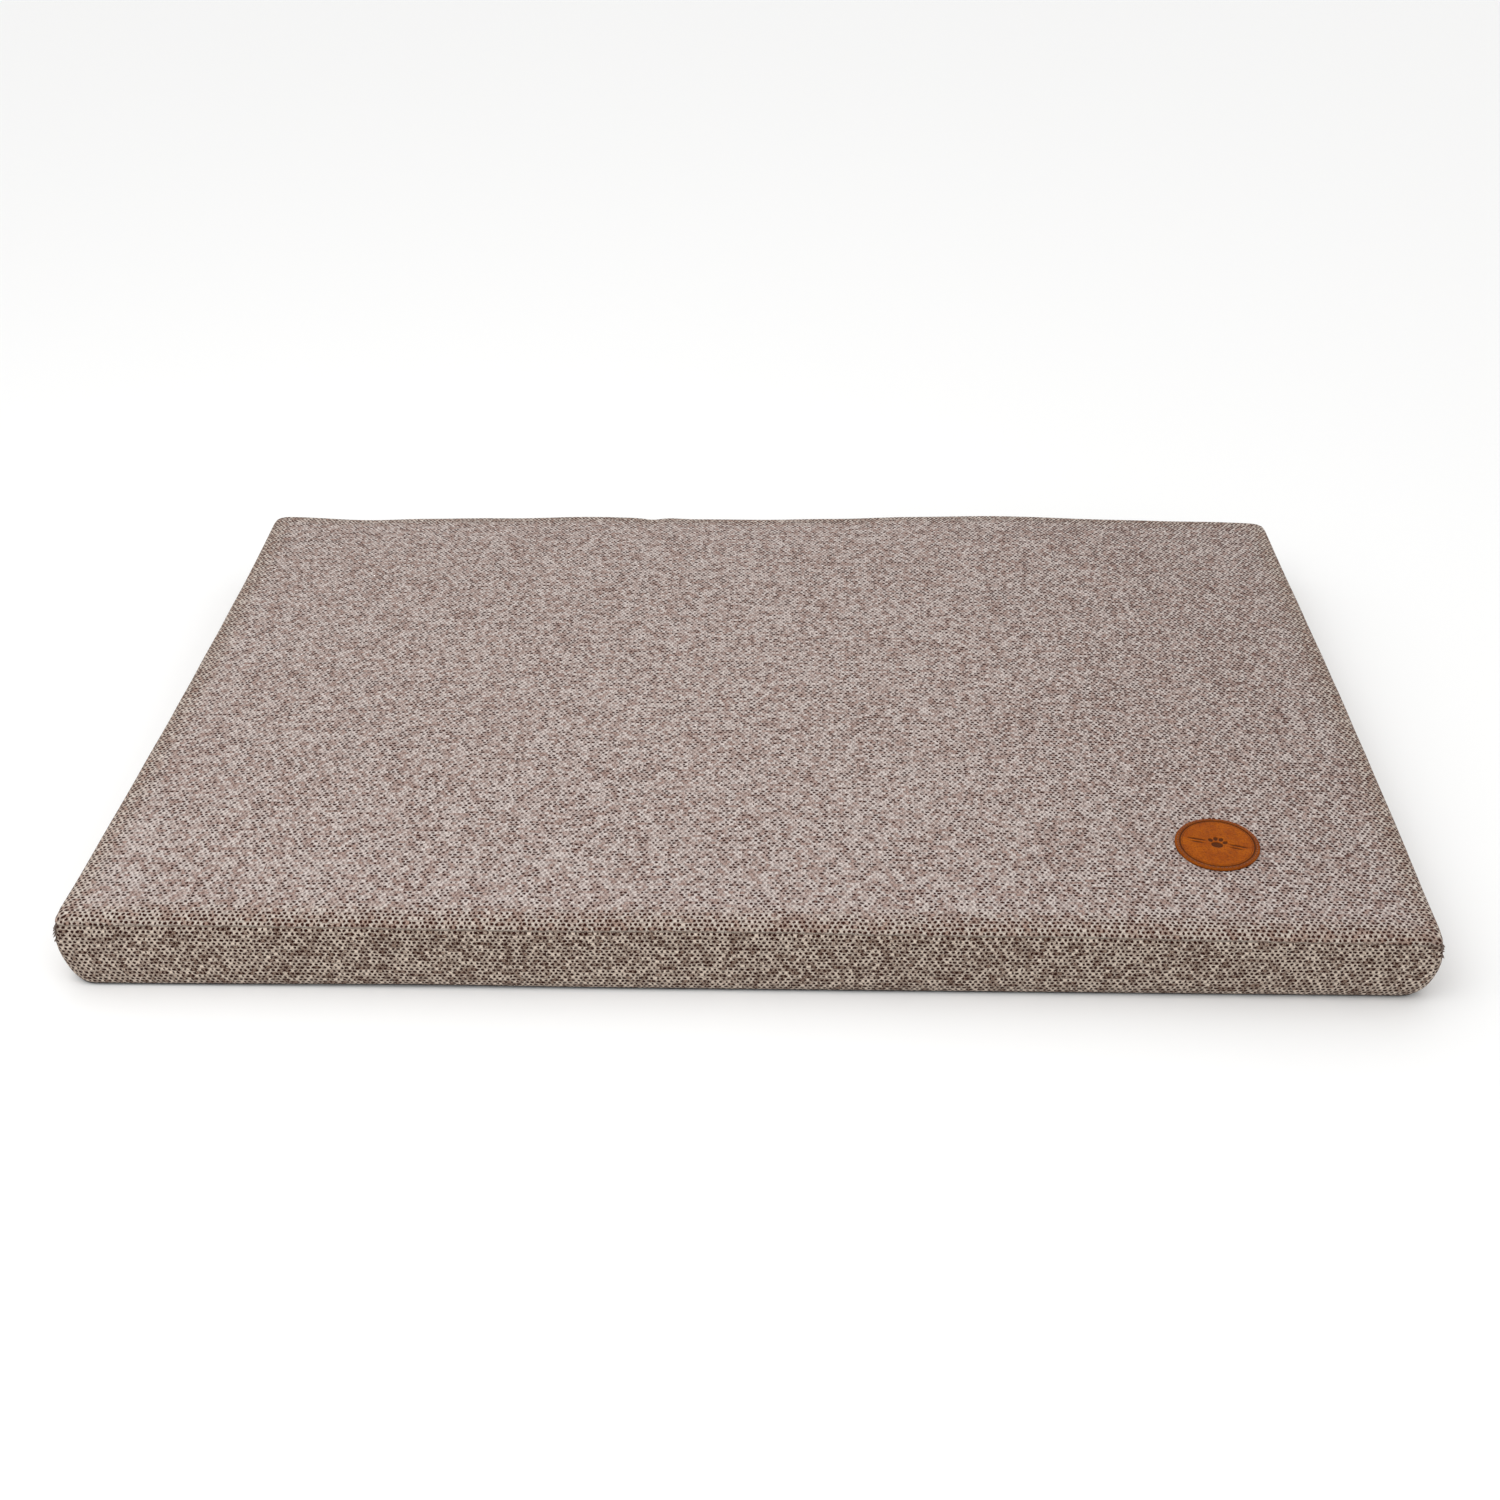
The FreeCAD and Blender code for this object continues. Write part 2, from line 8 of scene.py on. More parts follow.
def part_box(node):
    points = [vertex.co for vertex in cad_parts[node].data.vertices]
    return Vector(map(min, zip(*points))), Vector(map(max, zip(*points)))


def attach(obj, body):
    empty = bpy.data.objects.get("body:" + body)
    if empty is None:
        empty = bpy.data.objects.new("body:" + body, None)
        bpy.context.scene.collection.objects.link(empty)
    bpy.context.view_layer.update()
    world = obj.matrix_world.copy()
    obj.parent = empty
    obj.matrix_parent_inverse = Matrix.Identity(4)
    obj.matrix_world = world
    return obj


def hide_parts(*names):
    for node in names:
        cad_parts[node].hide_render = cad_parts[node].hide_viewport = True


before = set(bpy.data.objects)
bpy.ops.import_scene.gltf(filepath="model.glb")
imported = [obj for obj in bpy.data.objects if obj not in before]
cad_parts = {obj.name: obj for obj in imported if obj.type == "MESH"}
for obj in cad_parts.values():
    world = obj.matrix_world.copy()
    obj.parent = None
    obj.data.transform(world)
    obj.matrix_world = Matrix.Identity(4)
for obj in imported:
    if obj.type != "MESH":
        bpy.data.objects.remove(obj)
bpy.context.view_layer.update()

# A boxed pet cushion in a chunky two-tone weave: foam and fibre inside a thin case, a cover of woven
# panels over a dark base, a zip in the back wall and an oval leather badge. All in metres.

# ------------------------------------------------------------------ sizes, from the frame

_, panel_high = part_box("top_panel")
_, band_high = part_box("side_band")
strip_low, strip_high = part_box("back_strip_upper")
badge_low, badge_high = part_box("leather_badge")
coil_low, coil_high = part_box("zip_coil_upper")
_, lower_coil_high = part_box("zip_coil_lower")

HALF_WIDTH = panel_high.x
HALF_DEPTH = panel_high.y
CLOTH = strip_high.y - strip_low.y
RIM = band_high.z + CLOTH
CROWN_RISE = panel_high.z - RIM
ZIP_HEIGHT = 0.5 * (coil_low.z + lower_coil_high.z)
ZIP_END = strip_high.x
CHAIN_Y = 0.5 * (coil_low.y + coil_high.y)
BADGE_CENTRE = (0.5 * (badge_low.x + badge_high.x), 0.5 * (badge_low.y + badge_high.y))

MM = 0.001
CORNER = 14.0 * MM         # plan radius of the corners, before they are drawn out to a point
CORNER_POINT = 3.0 * MM    # how far each corner is drawn out at the seam
FRONT_ROUND = 11.0 * MM    # radius of the cover's top edge along the front
SIDE_ROUND = 6.0 * MM      # along the sides and the back
CORNER_ROUND = 4.5 * MM    # and at the corners
SEAM_DROP = 6.0 * MM       # the top seam's depth below the rim
SEAM_Z = RIM - SEAM_DROP
BASE_SEAM_Z = 1.4 * MM
BASE_ROUND = 13.0 * MM     # height over which the wall turns under at the base
BASE_TUCK = 5.5 * MM       # and how far it goes
BASE_CORNER = 22.0 * MM    # plan radius of the corners at the base
CAP_INSET = CORNER - 1.0 * MM
CROWN_FADE = 0.040          # height at which the wall stops rising with the crown

# ------------------------------------------------------------------ plan, crown and settling


class Plan:
    """A rounded rectangle as a grid: even cells along each straight, finer ones round each corner."""

    def __init__(self, long_cells, short_cells, corner_cells=6):
        self.long_cells = long_cells
        self.short_cells = short_cells
        self.corner_cells = corner_cells

    def stations(self, cells, half, radius):
        """Places from -half to half: even steps over each corner's radius, even steps between them."""
        step = np.arange(cells + 1.0)
        corner = self.corner_cells
        first = -half + radius * step / corner
        last = half - radius * (cells - step) / corner
        middle = (half - radius) * (2.0 * (step - corner) / (cells - 2 * corner) - 1.0)
        return np.where(step < corner, first, np.where(step > cells - corner, last, middle))

    def grid(self, half_width, half_depth, radius):
        """Plan coordinates: each corner's square of cells is pulled round into a quarter disc."""
        x, y = np.meshgrid(self.stations(self.long_cells, half_width, radius),
                           self.stations(self.short_cells, half_depth, radius), indexing="ij")
        across = np.clip((np.abs(x) - half_width + radius) / radius, 0, 1)
        along = np.clip((np.abs(y) - half_depth + radius) / radius, 0, 1)
        reach = np.maximum(across, along)
        turn = np.pi / 4 * np.minimum(across, along) / np.maximum(reach, 1e-9)
        turn = np.where(across >= along, turn, np.pi / 2 - turn)
        in_corner = (across > 0) & (along > 0)
        x = np.where(in_corner, np.sign(x) * (half_width - radius + radius * reach * np.cos(turn)), x)
        y = np.where(in_corner, np.sign(y) * (half_depth - radius + radius * reach * np.sin(turn)), y)
        return x, y

    def loop(self):
        """Grid indices round the edge, anticlockwise from above, starting at the middle of the back."""
        wide, deep = self.long_cells, self.short_cells
        middle = wide // 2
        i = np.concatenate([np.arange(middle, 0, -1), np.zeros(deep, int), np.arange(0, wide),
                            np.full(deep, wide), np.arange(wide, middle, -1)])
        j = np.concatenate([np.full(middle, deep), np.arange(deep, 0, -1), np.zeros(wide, int),
                            np.arange(0, deep), np.full(wide - middle, deep)])
        return i, j

    def outline(self, half_width, half_depth, radius):
        """The edge in loop order, with the outward direction at each point."""
        i, j = self.loop()
        x, y = self.grid(half_width, half_depth, radius)
        edge = np.stack([x[i, j], y[i, j]], -1)
        centre = np.stack([np.clip(edge[:, 0], radius - half_width, half_width - radius),
                           np.clip(edge[:, 1], radius - half_depth, half_depth - radius)], -1)
        outward = edge - centre
        return edge, outward / np.linalg.norm(outward, axis=1)[:, None]

    def rim(self):
        """Numbers of the grid's points round the edge, in loop order."""
        i, j = self.loop()
        return i * (self.short_cells + 1) + j

    def grid_faces(self, first=0):
        return grid_quads(self.long_cells + 1, self.short_cells + 1, first=first)

    def skirted_faces(self, rows):
        """Faces of the grid, and of as many rows of points again as are carried on round its edge."""
        rim = self.rim()
        first = (self.long_cells + 1) * (self.short_cells + 1)
        around = np.arange(len(rim))
        joined = np.stack([rim, first + around, first + (around + 1) % len(rim), np.roll(rim, -1)], -1)
        return np.concatenate([self.grid_faces(), joined,
                               grid_quads(rows, len(rim), False, True, first=first)])


def smooth(value):
    """0 below 0, 1 above 1, and an S curve between."""
    value = np.clip(value, 0.0, 1.0)
    return value * value * (3.0 - 2.0 * value)


def crown(x, y):
    """Height over the rim: the rise times (1 - u^4) times (1 - v^4)."""
    u = np.clip(x / HALF_WIDTH, -1, 1)
    v = np.clip(y / HALF_DEPTH, -1, 1)
    return CROWN_RISE * (1 - u ** 4) * (1 - v ** 4)


# soft creases on the top: start, end, half width and depth
CREASES = [
    ((-0.062, -0.110), (-0.128, -0.272), 9.0 * MM, 1.5 * MM),
    ((-0.100, -0.130), (-0.165, -0.268), 8.0 * MM, 1.2 * MM),
    ((0.104, -0.262), (0.127, -0.303), 6.0 * MM, 1.6 * MM),
    ((0.084, -0.270), (0.083, -0.303), 5.0 * MM, 0.9 * MM),
    ((-0.100, 0.215), (-0.103, 0.303), 9.0 * MM, 1.8 * MM),
    ((0.165, 0.020), (0.120, 0.150), 14.0 * MM, 1.1 * MM),
    ((0.225, 0.050), (0.285, 0.190), 15.0 * MM, 1.1 * MM),
]
# wide soft swells on the top: middle, reach in x and y, and height
SWELLS = [
    ((0.210, 0.300), (0.140, 0.110), 5.8 * MM),
    ((0.000, 0.300), (0.500, 0.080), 1.9 * MM),
    ((-0.150, 0.300), (0.060, 0.090), 2.0 * MM),
    ((-0.360, 0.300), (0.045, 0.070), -2.4 * MM),
    ((0.390, 0.300), (0.060, 0.080), 1.4 * MM),
    ((-0.240, -0.120), (0.130, 0.090), 1.6 * MM),
    ((0.050, -0.180), (0.100, 0.070), 1.2 * MM),
    ((-0.020, 0.060), (0.100, 0.070), -1.0 * MM),
    ((0.330, -0.040), (0.070, 0.120), -1.3 * MM),
    ((-0.400, 0.060), (0.040, 0.160), -1.5 * MM),
]


def waves(x, y):
    """Soft relief of the top: each swell is a bell curve, each crease a valley with a low ridge beside it."""
    lift = np.zeros_like(x)
    for (middle_x, middle_y), (reach_x, reach_y), height in SWELLS:
        lift += height * np.exp(-((x - middle_x) / reach_x) ** 2 - ((y - middle_y) / reach_y) ** 2)
    for start, end, half_width, depth in CREASES:
        along_x, along_y = end[0] - start[0], end[1] - start[1]
        length = math.hypot(along_x, along_y)
        share = ((x - start[0]) * along_x + (y - start[1]) * along_y) / length ** 2
        side = ((x - start[0]) * along_y - (y - start[1]) * along_x) / length
        fade = smooth((share + 0.25) / 0.5) * smooth((1.25 - share) / 0.5)
        valley = np.exp(-(side / half_width) ** 2)
        ridge = np.exp(-((side - 1.8 * half_width) / (1.3 * half_width)) ** 2)
        lift += depth * fade * (0.55 * ridge - valley)
    ripple = np.sin(31.0 * x + 9.0 * np.sin(7.0 * y)) * np.sin(27.0 * y + 6.0 * np.cos(9.0 * x + 1.0))
    return lift + 0.35 * MM * ripple


def settle(points):
    """The slack of the made-up cushion: walls pull in or belly out between the corners, the rim is a little
    higher on the left, and the top waves. Walls move by a parabola along their length; what moves the
    rim and the top fades out above the zip."""
    x, y, z = points[:, 0].copy(), points[:, 1].copy(), points[:, 2].copy()
    share_x, share_y = x / HALF_WIDTH, y / HALF_DEPTH
    bow_x, bow_y = 1 - np.clip(share_x, -1, 1) ** 2, 1 - np.clip(share_y, -1, 1) ** 2
    left, right = smooth((-share_x - 0.5) / 0.5), smooth((share_x - 0.5) / 0.5)
    front = smooth((-share_y - 0.5) / 0.5)
    height = np.clip(z / RIM, 0, 1.2)
    top = smooth((z - 0.037) / (RIM - 0.039))
    moved = points.copy()
    belly = np.sin(np.pi * np.clip(height, 0, 1)) * MM
    moved[:, 0] += left * (3.0 * MM * bow_y * (0.4 + 0.6 * height) - 4.0 * belly)
    moved[:, 0] += right * (3.0 * MM * bow_y + 3.4 * belly)
    moved[:, 1] += front * (1.5 * MM * bow_x * height - 0.7 * belly)
    wander = 0.9 * MM * np.sin(9.0 * x + 0.6) + 0.7 * MM * np.sin(23.0 * x + 1.9)
    moved[:, 1] += front * wander * bow_x * height
    moved[:, 2] += top * (waves(x, y) - 1.1 * MM * share_x)
    under = front * np.exp(-z / (12 * MM))
    moved[:, 1] += 3.5 * MM * share_x * under
    moved[:, 2] += 1.4 * MM * np.exp(-((x + 0.22) / 0.10) ** 2) * front * np.exp(-z / (9 * MM))
    return moved


# ------------------------------------------------------------------ mesh helpers


def make_mesh(name, points, quads, uv=None, body="cushion"):
    """A smooth piece from arrays of points and four-sided faces, riding on a body."""
    mesh = bpy.data.meshes.new(name)
    mesh.vertices.add(len(points))
    mesh.vertices.foreach_set("co", np.ascontiguousarray(points, np.float32).ravel())
    mesh.loops.add(quads.size)
    mesh.loops.foreach_set("vertex_index", np.ascontiguousarray(quads, np.int32).ravel())
    mesh.polygons.add(len(quads))
    sides = quads.shape[1]
    mesh.polygons.foreach_set("loop_start", np.arange(0, quads.size, sides, dtype=np.int32))
    if uv is not None:
        layer = mesh.uv_layers.new(name="weave")
        layer.data.foreach_set("uv", np.ascontiguousarray(uv[quads.ravel()], np.float32).ravel())
    mesh.update(calc_edges=True)
    mesh.validate()
    mesh.polygons.foreach_set("use_smooth", np.ones(len(mesh.polygons), bool))
    piece = bpy.data.objects.new(name, mesh)
    bpy.context.scene.collection.objects.link(piece)
    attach(piece, body)
    return piece


def grid_quads(rows, columns, close_rows=False, close_columns=False, first=0):
    """Faces of a grid of rows x columns points, numbered row by row, and closed round if asked."""
    row = np.arange(rows if close_rows else rows - 1)
    column = np.arange(columns if close_columns else columns - 1)
    i, j = np.meshgrid(row, column, indexing="ij")
    i, j = i.ravel(), j.ravel()
    next_i, next_j = (i + 1) % rows, (j + 1) % columns
    return first + np.stack([i * columns + j, next_i * columns + j,
                             next_i * columns + next_j, i * columns + next_j], -1)


def at_height(plan_points, z):
    """Plan points given one height."""
    return np.column_stack([plan_points, np.full(len(plan_points), z)])


def thicken(piece, thickness):
    """Gives a cloth surface its thickness on its inner side, with closed edges."""
    wall = piece.modifiers.new("cloth thickness", "SOLIDIFY")
    wall.thickness = thickness
    wall.offset = -1.0
    wall.use_rim = True


def tube_along(path, radius, sides=8, closed=False):
    """Points and faces of a round tube on a path: a ring of points in the plane across it at each step."""
    path = np.asarray(path, float)
    ahead = np.roll(path, -1, 0) - np.roll(path, 1, 0)
    if not closed:
        ahead[0], ahead[-1] = path[1] - path[0], path[-1] - path[-2]
    ahead /= np.linalg.norm(ahead, axis=1)[:, None]
    helper = np.where(np.abs(ahead[:, 2:3]) > 0.9, [[1.0, 0.0, 0.0]], [[0.0, 0.0, 1.0]])
    side = np.cross(ahead, helper)
    side /= np.linalg.norm(side, axis=1)[:, None]
    over = np.cross(side, ahead)
    turn = 2 * np.pi * np.arange(sides) / sides
    ring = side[:, None] * np.cos(turn)[None, :, None] + over[:, None] * np.sin(turn)[None, :, None]
    width = np.broadcast_to(np.asarray(radius, float), (len(path),))
    points = (path[:, None] + ring * width[:, None, None]).reshape(-1, 3)
    return points, grid_quads(len(path), sides, closed, True)


ALONG_X, ALONG_Y, ALONG_Z = np.eye(3)[:, None]


def stitches(name, centres, directions, normals, length, radius, sides=6, steps=7):
    """Many short threads as one mesh: each is a bead that dives into the cloth at both ends.
    Along it, s from -1 to 1, it stands out by 1 - s^2 and its thickness is sqrt(1 - s^4).
    Directions and normals are one for each thread, or one for all."""
    share = np.linspace(-1, 1, steps)
    turn = 2 * np.pi * np.arange(sides) / sides
    across = np.cross(directions, normals)
    line = (centres[:, None] + 0.5 * length * share[None, :, None] * directions[:, None]
            + radius * (0.9 * (1 - share ** 2) - 0.5)[None, :, None] * normals[:, None])
    thick = radius * np.sqrt(np.clip(1 - share ** 4, 0.02, 1))
    ring = (across[:, None] * np.cos(turn)[None, :, None] + normals[:, None] * np.sin(turn)[None, :, None])
    points = line[:, :, None] + ring[:, None] * thick[None, :, None, None]
    count = len(centres)
    quads = grid_quads(steps, sides, False, True)
    every = (quads[None] + (np.arange(count) * steps * sides)[:, None, None]).reshape(-1, 4)
    return make_mesh(name, points.reshape(-1, 3), every)


# ------------------------------------------------------------------ materials


class Finish:
    """One material's node tree, with short calls for the nodes that its pattern needs."""

    def __init__(self, name, roughness=0.9, **sockets):
        self.material = bpy.data.materials.new(name)
        self.material.use_nodes = True
        self.tree = self.material.node_tree
        self.shader = self.tree.nodes["Principled BSDF"]
        self.set("Roughness", roughness)
        for socket, value in sockets.items():
            self.set(socket.replace("_", " "), value)

    def set(self, socket, value):
        self.feed(self.shader.inputs[socket], value)

    def feed(self, socket, value):
        if isinstance(value, bpy.types.NodeSocket):
            self.tree.links.new(value, socket)
        elif value is not None:
            socket.default_value = value

    def node(self, kind, inputs=(), **settings):
        made = self.tree.nodes.new("ShaderNode" + kind)
        for setting, value in settings.items():
            setattr(made, setting, value)
        for socket, value in dict(inputs).items():
            self.feed(made.inputs[socket], value)
        return made

    def math(self, operation, first, second=None, third=None):
        return self.node("Math", {0: first, 1: second, 2: third}, operation=operation).outputs[0]

    def scaled(self, value, by, plus):
        """The value times one number, plus another."""
        return self.math("MULTIPLY_ADD", value, by, plus)

    def times(self, first, second):
        return self.math("MULTIPLY", first, second)

    def plus(self, first, second):
        return self.math("ADD", first, second)

    def less(self, first, second):
        return self.math("SUBTRACT", first, second)

    def over(self, first, second):
        return self.math("DIVIDE", first, second)

    def absolute(self, value):
        return self.math("ABSOLUTE", value)

    def ease(self, value, low, high):
        """0 where the value is at low, 1 at high, and an S curve between; low may be above high."""
        made = self.node("MapRange", {0: value, 1: low, 2: high}, interpolation_type="SMOOTHSTEP")
        return made.outputs[0]

    def blend(self, share, first, second):
        made = self.node("Mix", {0: share, 6: first, 7: second}, data_type="RGBA")
        return made.outputs[2]

    def multiply(self, first, second):
        made = self.node("Mix", {0: 1.0, 6: first, 7: second}, data_type="RGBA", blend_type="MULTIPLY")
        return made.outputs[2]

    def vector(self, x, y, z=0.0):
        return self.node("CombineXYZ", {0: x, 1: y, 2: z}).outputs[0]

    def grey(self, light):
        return self.vector(light, light, light)

    def shade(self, tone, light):
        """Gives the base colour: a tone made lighter and darker by a pattern."""
        self.set("Base Color", self.multiply(tone, self.grey(light)))

    def noise(self, vector, scale, detail=2.0, roughness=0.5):
        made = self.node("TexNoise", {"Vector": vector, "Scale": scale, "Detail": detail,
                                      "Roughness": roughness})
        return made.outputs[0]

    def chance(self, vector):
        """A different random value from 0 to 1 for each whole-numbered place."""
        return self.node("TexWhiteNoise", {0: vector}, noise_dimensions="3D").outputs[0]

    def weave_uv(self):
        """The cloth's own coordinates in metres, along its weft and its warp."""
        uv = self.node("UVMap", uv_map="weave").outputs[0]
        parts = self.node("SeparateXYZ", {0: uv})
        return uv, parts.outputs[0], parts.outputs[1]

    def object_place(self):
        return self.node("TexCoord").outputs["Object"]

    def bump(self, height, distance, strength=1.0):
        made = self.node("Bump", {"Height": height, "Distance": distance, "Strength": strength})
        self.set("Normal", made.outputs[0])


def colour(red, green, blue):
    return (red, green, blue, 1.0)


WEFT_PITCH = 3.6 * MM
ROW_PITCH = 2.7 * MM
GAP_HALF_HEIGHT = 0.38      # of a row
# painted shade: how much the line between rows of loops is darkened
ROW_SHADE = 0.25            # how much darker the line between rows is


def woven_cloth(name, cream, dust, brown, dark, closed_gap, open_share, rim_open, relief):
    """Chunky weave: rows of cream loops, each set over by half a loop, with a dark gap between loops.
    Each cell is centred on a gap, an ellipse; how dark and wide it is comes from a draw for that gap, from
    patches and short upright streaks, and from how near it is to the cover's edge, where the cloth is
    stretched over the fill. The top's weave also opens towards the right. Each loop between two gaps has
    its own tone."""
    cloth = Finish(name, 0.95, Specular_IOR_Level=0.06, Sheen_Weight=0.02, Sheen_Roughness=0.5)
    uv, weft, warp = cloth.weave_uv()
    across = cloth.scaled(cloth.noise(uv, 45.0, 1.0), 1.2 * MM, weft)
    up = cloth.scaled(cloth.noise(cloth.vector(warp, weft, 3.0), 40.0, 1.0), 0.7 * MM, warp)
    across = cloth.scaled(cloth.noise(uv, 210.0, 1.0), 2.0 * MM, across)
    up = cloth.scaled(cloth.noise(cloth.vector(warp, weft, 9.0), 190.0, 1.0), 1.3 * MM, up)
    row = cloth.over(up, ROW_PITCH)
    row_number = cloth.math("FLOOR", row)
    stagger = cloth.times(row_number, 0.5)
    column = cloth.plus(cloth.over(across, WEFT_PITCH), stagger)
    gap_number = cloth.math("FLOOR", column)
    loop_number = cloth.math("FLOOR", cloth.plus(column, 0.5))
    in_column = cloth.less(cloth.less(column, gap_number), 0.5)
    in_row = cloth.less(cloth.less(row, row_number), 0.5)
    gap_draw = cloth.chance(cloth.vector(gap_number, row_number))
    size_draw = cloth.chance(cloth.vector(gap_number, row_number, 4.0))
    in_column = cloth.plus(in_column, cloth.scaled(size_draw, 0.26, -0.13))
    in_row = cloth.plus(in_row, cloth.scaled(gap_draw, 0.20, -0.10))
    loop_draw = cloth.chance(cloth.vector(loop_number, row_number, 7.0))
    # how open the weave is here
    patch = cloth.noise(cloth.vector(weft, cloth.times(warp, 0.6)), 85.0, 3.0, 0.65)
    streak = cloth.noise(cloth.vector(weft, cloth.times(warp, 0.22), 5.0), 420.0, 1.0)
    patchy = cloth.times(cloth.less(patch, 0.5), 0.35)
    slack = cloth.plus(patchy, cloth.times(cloth.ease(streak, 0.62, 0.74), 0.5))
    if rim_open:
        slack = cloth.scaled(cloth.ease(weft, 0.05, 0.40), 0.30, slack)
    near_end = cloth.ease(cloth.absolute(weft), HALF_WIDTH - 26 * MM, HALF_WIDTH + 3 * MM)
    near_side = cloth.ease(cloth.absolute(warp), HALF_DEPTH - 24 * MM, HALF_DEPTH + 3 * MM)
    near_rim = cloth.math("MAXIMUM", near_end, near_side) if rim_open else 0.0
    chance = cloth.plus(cloth.plus(gap_draw, slack), cloth.times(near_rim, rim_open))
    openness = cloth.ease(chance, 1.0 - open_share, 1.3 - open_share)
    strength = cloth.scaled(openness, 1.0 - closed_gap, closed_gap)
    # the gap's ellipse
    half_wide = cloth.scaled(openness, 0.06, cloth.scaled(size_draw, 0.16, 0.18))
    wide = cloth.over(in_column, half_wide)
    tall = cloth.over(in_row, GAP_HALF_HEIGHT)
    squares = cloth.plus(cloth.times(wide, wide), cloth.times(tall, tall))
    away = cloth.math("SQRT", squares)
    fleck = cloth.noise(uv, 1300.0, 2.0, 0.65)
    away = cloth.scaled(cloth.less(fleck, 0.5), 1.1, away)
    gap = cloth.times(cloth.ease(away, 1.3, 0.65), strength)
    # each loop's round, and painted shade on the line between rows
    row_line = cloth.math("POWER", cloth.absolute(cloth.times(in_row, 2.0)), 3.0)
    crest = cloth.math("POWER", cloth.absolute(cloth.times(in_column, 2.0)), 0.8)
    loop_height = cloth.times(crest, cloth.scaled(row_line, -1.0, 1.0))
    # yarn colours
    tone = cloth.plus(cloth.times(loop_draw, 0.33), cloth.times(fleck, 0.67))
    yarn = cloth.blend(cloth.ease(tone, 0.24, 0.66), colour(*dust), colour(*cream))
    browned = cloth.ease(cloth.scaled(slack, 0.15, loop_draw), 0.95, 1.08)
    yarn = cloth.blend(browned, yarn, colour(*brown))
    # painted shade between the rows of loops
    shade = cloth.scaled(row_line, -ROW_SHADE, 1.0)
    yarn = cloth.multiply(yarn, cloth.grey(shade))
    # near the rim the top's yarn takes the band's warmer, slightly darker tone: the top's cooler, greyer tone
    # elsewhere is painted sheen, which fades out here
    if rim_open:
        painted_sheen_fade = cloth.times(near_rim, 0.9)
        yarn = cloth.blend(painted_sheen_fade, yarn, cloth.multiply(yarn, colour(0.97, 0.955, 0.87)))
    cloth.set("Base Color", cloth.blend(gap, yarn, colour(*dark)))
    height = cloth.times(loop_height, cloth.scaled(gap, -0.8, 1.0))
    height = cloth.scaled(fleck, 0.35, height)
    cloth.bump(height, relief)
    return cloth.material


def plain_cloth(name, tone, pitch, relief, roughness=0.9, variation=0.35):
    """Fine plain weave: over and under threads as the product of two waves, in slightly uneven patches."""
    cloth = Finish(name, roughness, Sheen_Weight=0.08)
    uv, weft, warp = cloth.weave_uv()
    one = cloth.math("SINE", cloth.times(weft, math.pi / pitch))
    two = cloth.math("SINE", cloth.times(warp, math.pi / pitch))
    thread = cloth.times(one, two)
    mottle = cloth.noise(uv, 240.0, 3.0, 0.6)
    patches = cloth.scaled(mottle, variation, 1.0 - variation / 2)
    light = cloth.scaled(thread, 0.15, patches)
    cloth.shade(colour(*tone), light)
    cloth.bump(thread, relief)
    return cloth.material


def thread_finish(name, tone):
    """Twisted sewing thread: fine slanting plies on object coordinates."""
    thread = Finish(name, 0.7, Sheen_Weight=0.1)
    place = thread.object_place()
    parts = thread.node("SeparateXYZ", {0: place})
    slant = thread.plus(parts.outputs[0], thread.plus(parts.outputs[1], parts.outputs[2]))
    ply = thread.math("SINE", thread.times(slant, 2 * math.pi / (0.5 * MM)))
    light = thread.scaled(ply, 0.18, 0.9)
    thread.shade(colour(*tone), light)
    thread.bump(ply, 0.06 * MM)
    return thread.material


def foam_finish():
    """Open-cell foam: round cells from a Voronoi pattern, darker inside, yellowing a little in patches."""
    foam = Finish("open-cell foam", 0.95)
    place = foam.object_place()
    cells = foam.node("TexVoronoi", {"Vector": place, "Scale": 900.0}).outputs[0]
    age = foam.noise(place, 14.0, 3.0)
    base = foam.blend(age, colour(0.74, 0.69, 0.50), colour(0.66, 0.58, 0.38))
    light = foam.ease(cells, -0.2, 0.7)
    foam.shade(base, light)
    foam.bump(cells, 0.4 * MM)
    return foam.material


def fibre_finish():
    """White fibre fleece: long soft strands from stretched noise."""
    fibre = Finish("fibre fleece", 0.95, Sheen_Weight=0.3)
    place = fibre.object_place()
    parts = fibre.node("SeparateXYZ", {0: place})
    stretched = fibre.vector(parts.outputs[0], fibre.times(parts.outputs[1], 0.12), parts.outputs[2])
    strands = fibre.noise(stretched, 700.0, 3.0, 0.7)
    cloud = fibre.noise(place, 40.0, 2.0)
    share = fibre.times(strands, cloud)
    fibre.set("Base Color", fibre.blend(fibre.ease(share, 0.1, 0.4), colour(0.70, 0.70, 0.69),
                                        colour(0.90, 0.90, 0.89)))
    fibre.bump(strands, 0.6 * MM)
    return fibre.material


